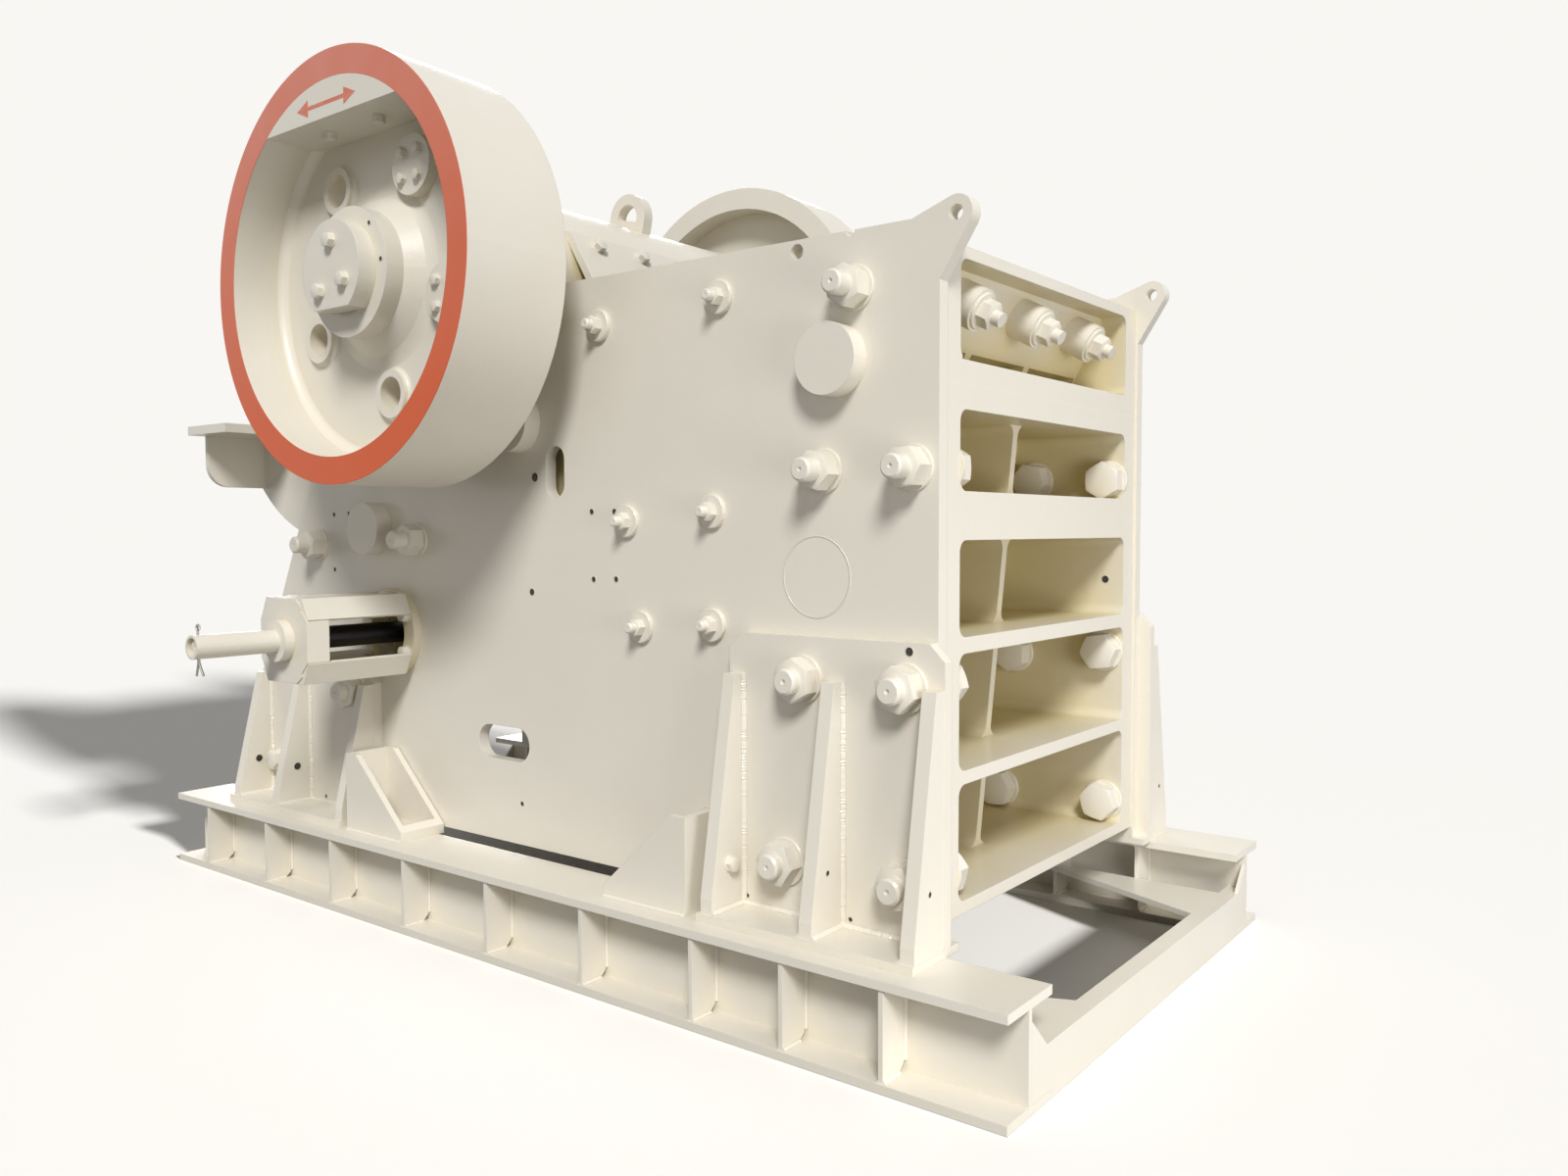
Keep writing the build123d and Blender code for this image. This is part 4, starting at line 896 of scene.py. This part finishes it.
class CRUSHER_OT_guard_bolts(CrusherOperator, bpy.types.Operator):
    """Bolts along the top edge of the pitman's guard"""
    bl_idname = "crusher.guard_bolts"
    bl_label = "Guard bolts"

    def execute(self, context):
        sizes = context.scene.crusher_fasteners
        mesh = bmesh.new()
        out, down = heading(GUARD_ANGLE), heading(GUARD_ANGLE - 90)
        for y in GUARD_BOLTS_Y:
            point = spot(BARREL_AXIS[0], y, BARREL_AXIS[1]) + (out * GUARD_OUT + down * GUARD_BOLT_DROP) * MM
            bolt_head(mesh, sizes.small_flats, sizes.flange_head, facing(point, out, y))
        piece("guard_bolts", mesh, "pitman")
        return {"FINISHED"}


TAPPED_PLACES = ((-1745, 1763, 17), (-1769, 1329, 13), (-1440, 1630, 10), (-1324, 1629, 10),
                 (-1433, 1385, 10), (-1318, 1388, 10), (-3085, 1391, 9), (-3084, 1635, 9),
                 (-2970, 1639, 9), (-1841, 507, 9))
FOOT_TAPPED_PLACES = ((-74, 1206, 13), (-687, 372, 7), (-281, 372, 7), (-3514, 372, 8), (-3128, 372, 8))
RIB_HOLES = ((-335, 905, 528, 8), (20, 905, 528, 8), (-3590, 895, 505, 16), (-3265, 895, 505, 16))
WALL_HOLE = (-83, 1368, 14)
PLUG_PLACE = (-438, 1415)
PLUG_PROFILE = ((0, 0), (130, 0), (129, 1.6), (126, 1.6), (125, 0.6), (0, 0.6))


class CRUSHER_OT_plate_details(CrusherOperator, bpy.types.Operator):
    """Tapped holes as dark discs of painted shade with their raised paint rims, and the round plug of each
    side plate
    """
    bl_idname = "crusher.plate_details"
    bl_label = "Plate details"

    def execute(self, context):
        rims, shade_discs = bmesh.new(), bmesh.new()
        for side in (NEAR, FAR):
            out = Vector((0, side, 0))
            for places, face in ((TAPPED_PLACES, PLATE_FACE), (FOOT_TAPPED_PLACES, FOOT_FACE)):
                for x, z, radius in places:
                    drilled(rims, shade_discs, radius, facing(on_side(x, z, side, face), out))
            for x, y, z, radius in RIB_HOLES:
                for way in (-1, 1):
                    drilled(rims, shade_discs, radius, facing(spot(x + way * RIB_HALF, side * y, z), (way, 0, 0)))
            x, z, radius = WALL_HOLE
            drilled(rims, shade_discs, radius, facing(spot(x, side * CASTING_WALL, z), -out))
            plug = [(radius * MM, height * MM) for radius, height in PLUG_PROFILE]
            turn_profile(rims, plug, facing(on_side(*PLUG_PLACE, side, PLATE_FACE), out), 96)
        piece("plate_pads", rims)
        piece("tapped_hole_shade_discs", shade_discs, "frame", "painted_hole_shade")
        return {"FINISHED"}


FOOT_RIBS = ((-725, 1100), (-335, 1100), (20, 1100), (-3590, 905), (-3265, 905), (-2775, 905))
FOOT_SPANS = ((-760, 46), (-3640, -2750))
RIB_HALF = 24
RIB_EDGE = 988
BASE_TOP = 345
STOP_SPANS = ((-1183, -808), (-2702, -2327))
STOP_EDGE = 994
RAIL_MIDDLE = 947
RAIL_WEB_HALF = 9
RAIL_LOW, RAIL_HIGH = 28, 292
STIFFENER_HALF = 8
STIFFENER_EDGE = 1073
STIFFENER_COPE = 58
BAY_PLACES = (-13, -363, -718, -1215, -1712, -2209, -2706, -3203, -3700)
FOOT_EDGE_MARGIN = 14
STOP_WELD, RAIL_WELD = 0.8, 0.7


class CRUSHER_OT_welds(CrusherOperator, bpy.types.Operator):
    """Fillet welds of the feet, the stop boxes and the skid rails"""
    bl_idname = "crusher.welds"
    bl_label = "Welds"

    def execute(self, context):
        sizes = context.scene.crusher_fasteners
        face, stop_foot = FOOT_FACE / MM, RAIL_TOP / MM
        up, down = (0, 0, 1), (0, 0, -1)
        # Each bead draws from a seed of its own, so that no two ripple alike.
        for word, side in SIDES:
            out = (0, side, 0)
            mesh = bmesh.new()
            seed = 0
            for x, top in FOOT_RIBS:
                for way in (-1, 1):
                    seed += 1
                    corner = x + way * RIB_HALF
                    if any(abs(corner - end) < FOOT_EDGE_MARGIN for span in FOOT_SPANS for end in span):
                        continue
                    foot = (corner, side * face, BASE_TOP)
                    weld(mesh, foot, (corner, side * face, top), (way, 0, 0), out, sizes, seed)
                    weld(mesh, foot, (corner, side * RIB_EDGE, BASE_TOP), (way, 0, 0), up, sizes, seed + 50)
            for rear, front in FOOT_SPANS:
                weld(mesh, (rear, side * face, BASE_TOP), (front, side * face, BASE_TOP), out, up,
                     sizes, rear)
            for rear, front in STOP_SPANS:
                weld(mesh, (rear, side * STOP_EDGE, stop_foot), (front, side * STOP_EDGE, stop_foot), out, up,
                     sizes, rear, STOP_WELD)
            piece("foot_welds_" + word, mesh)
            mesh = bmesh.new()
            for x in BAY_PLACES:
                for way in (-1, 1):
                    for lean in (-1, 1):
                        seed += 1
                        along_x = (way, 0, 0)
                        corner = x + way * STIFFENER_HALF
                        root = side * RAIL_MIDDLE + lean * RAIL_WEB_HALF
                        edge = side * RAIL_MIDDLE + lean * (STIFFENER_EDGE - RAIL_MIDDLE)
                        coped = root + lean * (STIFFENER_COPE - RAIL_LOW)
                        weld(mesh, (corner, root, STIFFENER_COPE), (corner, root, RAIL_HIGH),
                             along_x, (0, lean, 0), sizes, seed, RAIL_WELD)
                        weld(mesh, (corner, coped, RAIL_LOW), (corner, edge, RAIL_LOW),
                             along_x, up, sizes, seed + 99, RAIL_WELD)
                        weld(mesh, (corner, root, RAIL_HIGH), (corner, edge, RAIL_HIGH),
                             along_x, down, sizes, seed + 199, RAIL_WELD)
            piece("rail_welds_" + word, mesh)
        return {"FINISHED"}


def to_the_eye(tree):
    """1 for rays that show the background itself, 0 for the light that it throws on the machine."""
    path = add(tree, "LightPath").outputs
    seen = path["Is Camera Ray"]
    for ray in ("Is Glossy Ray", "Is Transmission Ray"):
        seen = add(tree, "Math", {0: seen, 1: path[ray]}, operation="MAXIMUM")
    return seen


def studio_floor():
    """Matt floor: white to the eye where it is lit, greyer as a reflector, with the machine's shadow."""
    material, tree = blank_material("matt_white_floor")
    dull = add(tree, "BsdfDiffuse", {"Color": linear(FLOOR_DULL)})
    white = add(tree, "BsdfDiffuse", {"Color": linear(FLOOR)})
    both = add(tree, "MixShader", {"Fac": to_the_eye(tree), 1: dull, 2: white})
    add(tree, "OutputMaterial", {"Surface": both})
    return material


def sky(stage):
    """The backdrop's white to the eye, a soft even light to the machine."""
    world = bpy.data.worlds.new("studio")
    world.use_nodes = True
    tree = world.node_tree
    tree.nodes.clear()
    light = add(tree, "Background", {"Color": linear("FFFFFF"), "Strength": stage.fill})
    white = add(tree, "Background", {"Color": linear(SKY)})
    both = add(tree, "MixShader", {"Fac": to_the_eye(tree), 1: light, 2: white})
    add(tree, "OutputWorld", {"Surface": both})
    return world


def hang(scene, lamp, place, source, floor, on_floor=False):
    """Hangs a lamp that shines from a direction and lights either the floor alone or all but the floor."""
    made = bpy.data.objects.new(lamp.name, lamp)
    made.matrix_world = facing(Vector(place), source)
    made.visible_camera = False
    lit = bpy.data.collections.new(lamp.name + "_lights")
    lit.objects.link(floor)
    lit.collection_objects[0].light_linking.link_state = "INCLUDE" if on_floor else "EXCLUDE"
    made.light_linking.receiver_collection = lit
    scene.collection.objects.link(made)


def sun(name, strength, spread):
    lamp = bpy.data.lights.new(name, "SUN")
    lamp.energy = strength
    lamp.angle = math.radians(spread)
    return lamp


def panel(name, watts, width, height):
    lamp = bpy.data.lights.new(name, "AREA")
    lamp.energy = watts
    lamp.shape = "RECTANGLE"
    lamp.size, lamp.size_y = width, height
    return lamp


# The floor as it is lit looks the same as the sky behind it.
FLOOR, FLOOR_DULL, SKY = "FBF9F5", "7C7B79", "F9F7F3"
FLOOR_DROP = 0.5
SENSOR, FAR_CLIP = 36, 500
LAMP_HEIGHT = (0, 0, 6)
KEY_FROM, KEY_SPREAD = (0.47, -0.58, 0.66), 16
PANEL_AT, PANEL_AIM = Vector((5.4, -1.5, 1.0)), Vector((1.5, -0.1, 0.9))
PANEL_SIZE = (2.6, 1.8)
BACK_FROM, BACK_SPREAD = (-0.70, 0.66, 0.28), 30
SHADOW_FROM, SHADOW_SPREAD = (0.916, -0.195, 0.348), 5


class CRUSHER_OT_studio(CrusherOperator, bpy.types.Operator):
    """White floor, soft light and the camera of the picture"""
    bl_idname = "crusher.studio"
    bl_label = "Studio"

    def execute(self, context):
        scene = context.scene
        stage = scene.crusher_stage
        half = stage.ground
        corners = ((-half, -half), (half, -half), (half, half), (-half, half))
        data = bpy.data.meshes.new("floor")
        data.from_pydata([(x, y, -FLOOR_DROP * MM) for x, y in corners], [], [(0, 1, 2, 3)])
        data.materials.append(studio_floor())
        floor = bpy.data.objects.new("floor", data)
        scene.collection.objects.link(floor)
        scene.world = sky(stage)
        hang(scene, sun("key_light", stage.key, KEY_SPREAD), LAMP_HEIGHT, KEY_FROM, floor)
        hang(scene, panel("front_light", stage.front, *PANEL_SIZE), PANEL_AT, PANEL_AT - PANEL_AIM, floor)
        hang(scene, sun("back_light", stage.back, BACK_SPREAD), LAMP_HEIGHT, BACK_FROM, floor)
        # The low lamp throws the long shadow of the picture on the floor and adds no light to the machine.
        hang(scene, sun("floor_light", stage.shadow, SHADOW_SPREAD), LAMP_HEIGHT, SHADOW_FROM, floor, True)
        view = bpy.data.cameras.new("camera")
        view.lens = stage.lens
        view.sensor_width = SENSOR
        view.sensor_fit = "HORIZONTAL"
        view.clip_end = FAR_CLIP
        camera = bpy.data.objects.new("camera", view)
        turn = (Matrix.Rotation(stage.yaw, 4, "Z") @ Matrix.Rotation(math.pi / 2 - stage.pitch, 4, "X")
                @ Matrix.Rotation(stage.roll, 4, "Z"))
        camera.matrix_world = Matrix.Translation(stage.camera) @ turn
        scene.collection.objects.link(camera)
        scene.camera = camera
        scene.view_settings.view_transform = "Standard"
        return {"FINISHED"}


GROUPS = {"crusher_paint": CRUSHER_PG_paint, "crusher_fasteners": CRUSHER_PG_fasteners,
          "crusher_stage": CRUSHER_PG_stage}
STEPS = (CRUSHER_OT_finishes, CRUSHER_OT_tie_bolts, CRUSHER_OT_cheek_bolts, CRUSHER_OT_casting_bolts,
         CRUSHER_OT_foot_bolts, CRUSHER_OT_flywheel_fittings, CRUSHER_OT_housing_bolts, CRUSHER_OT_clamp_nuts,
         CRUSHER_OT_adjuster_bolts, CRUSHER_OT_adjuster_covers, CRUSHER_OT_adjuster_pins, CRUSHER_OT_spring,
         CRUSHER_OT_guard_bolts, CRUSHER_OT_plate_details, CRUSHER_OT_welds, CRUSHER_OT_studio)


class CRUSHER_PT_panel(bpy.types.Panel):
    """Lists the steps in the order they are run"""
    bl_idname = "CRUSHER_PT_panel"
    bl_label = "Jaw crusher"
    bl_space_type = "VIEW_3D"
    bl_region_type = "UI"
    bl_category = "Crusher"

    def draw(self, context):
        for step in STEPS:
            self.layout.operator(step.bl_idname)


CLASSES = (*GROUPS.values(), *STEPS, CRUSHER_PT_panel)


def register():
    for made in CLASSES:
        bpy.utils.register_class(made)
    for name, group in GROUPS.items():
        setattr(bpy.types.Scene, name, PointerProperty(type=group))


def unregister():
    for name in GROUPS:
        delattr(bpy.types.Scene, name)
    for made in reversed(CLASSES):
        bpy.utils.unregister_class(made)


def main():
    register()
    for step in STEPS:
        group, name = step.bl_idname.split(".")
        getattr(getattr(bpy.ops, group), name)()


if __name__ == "__main__":
    main()
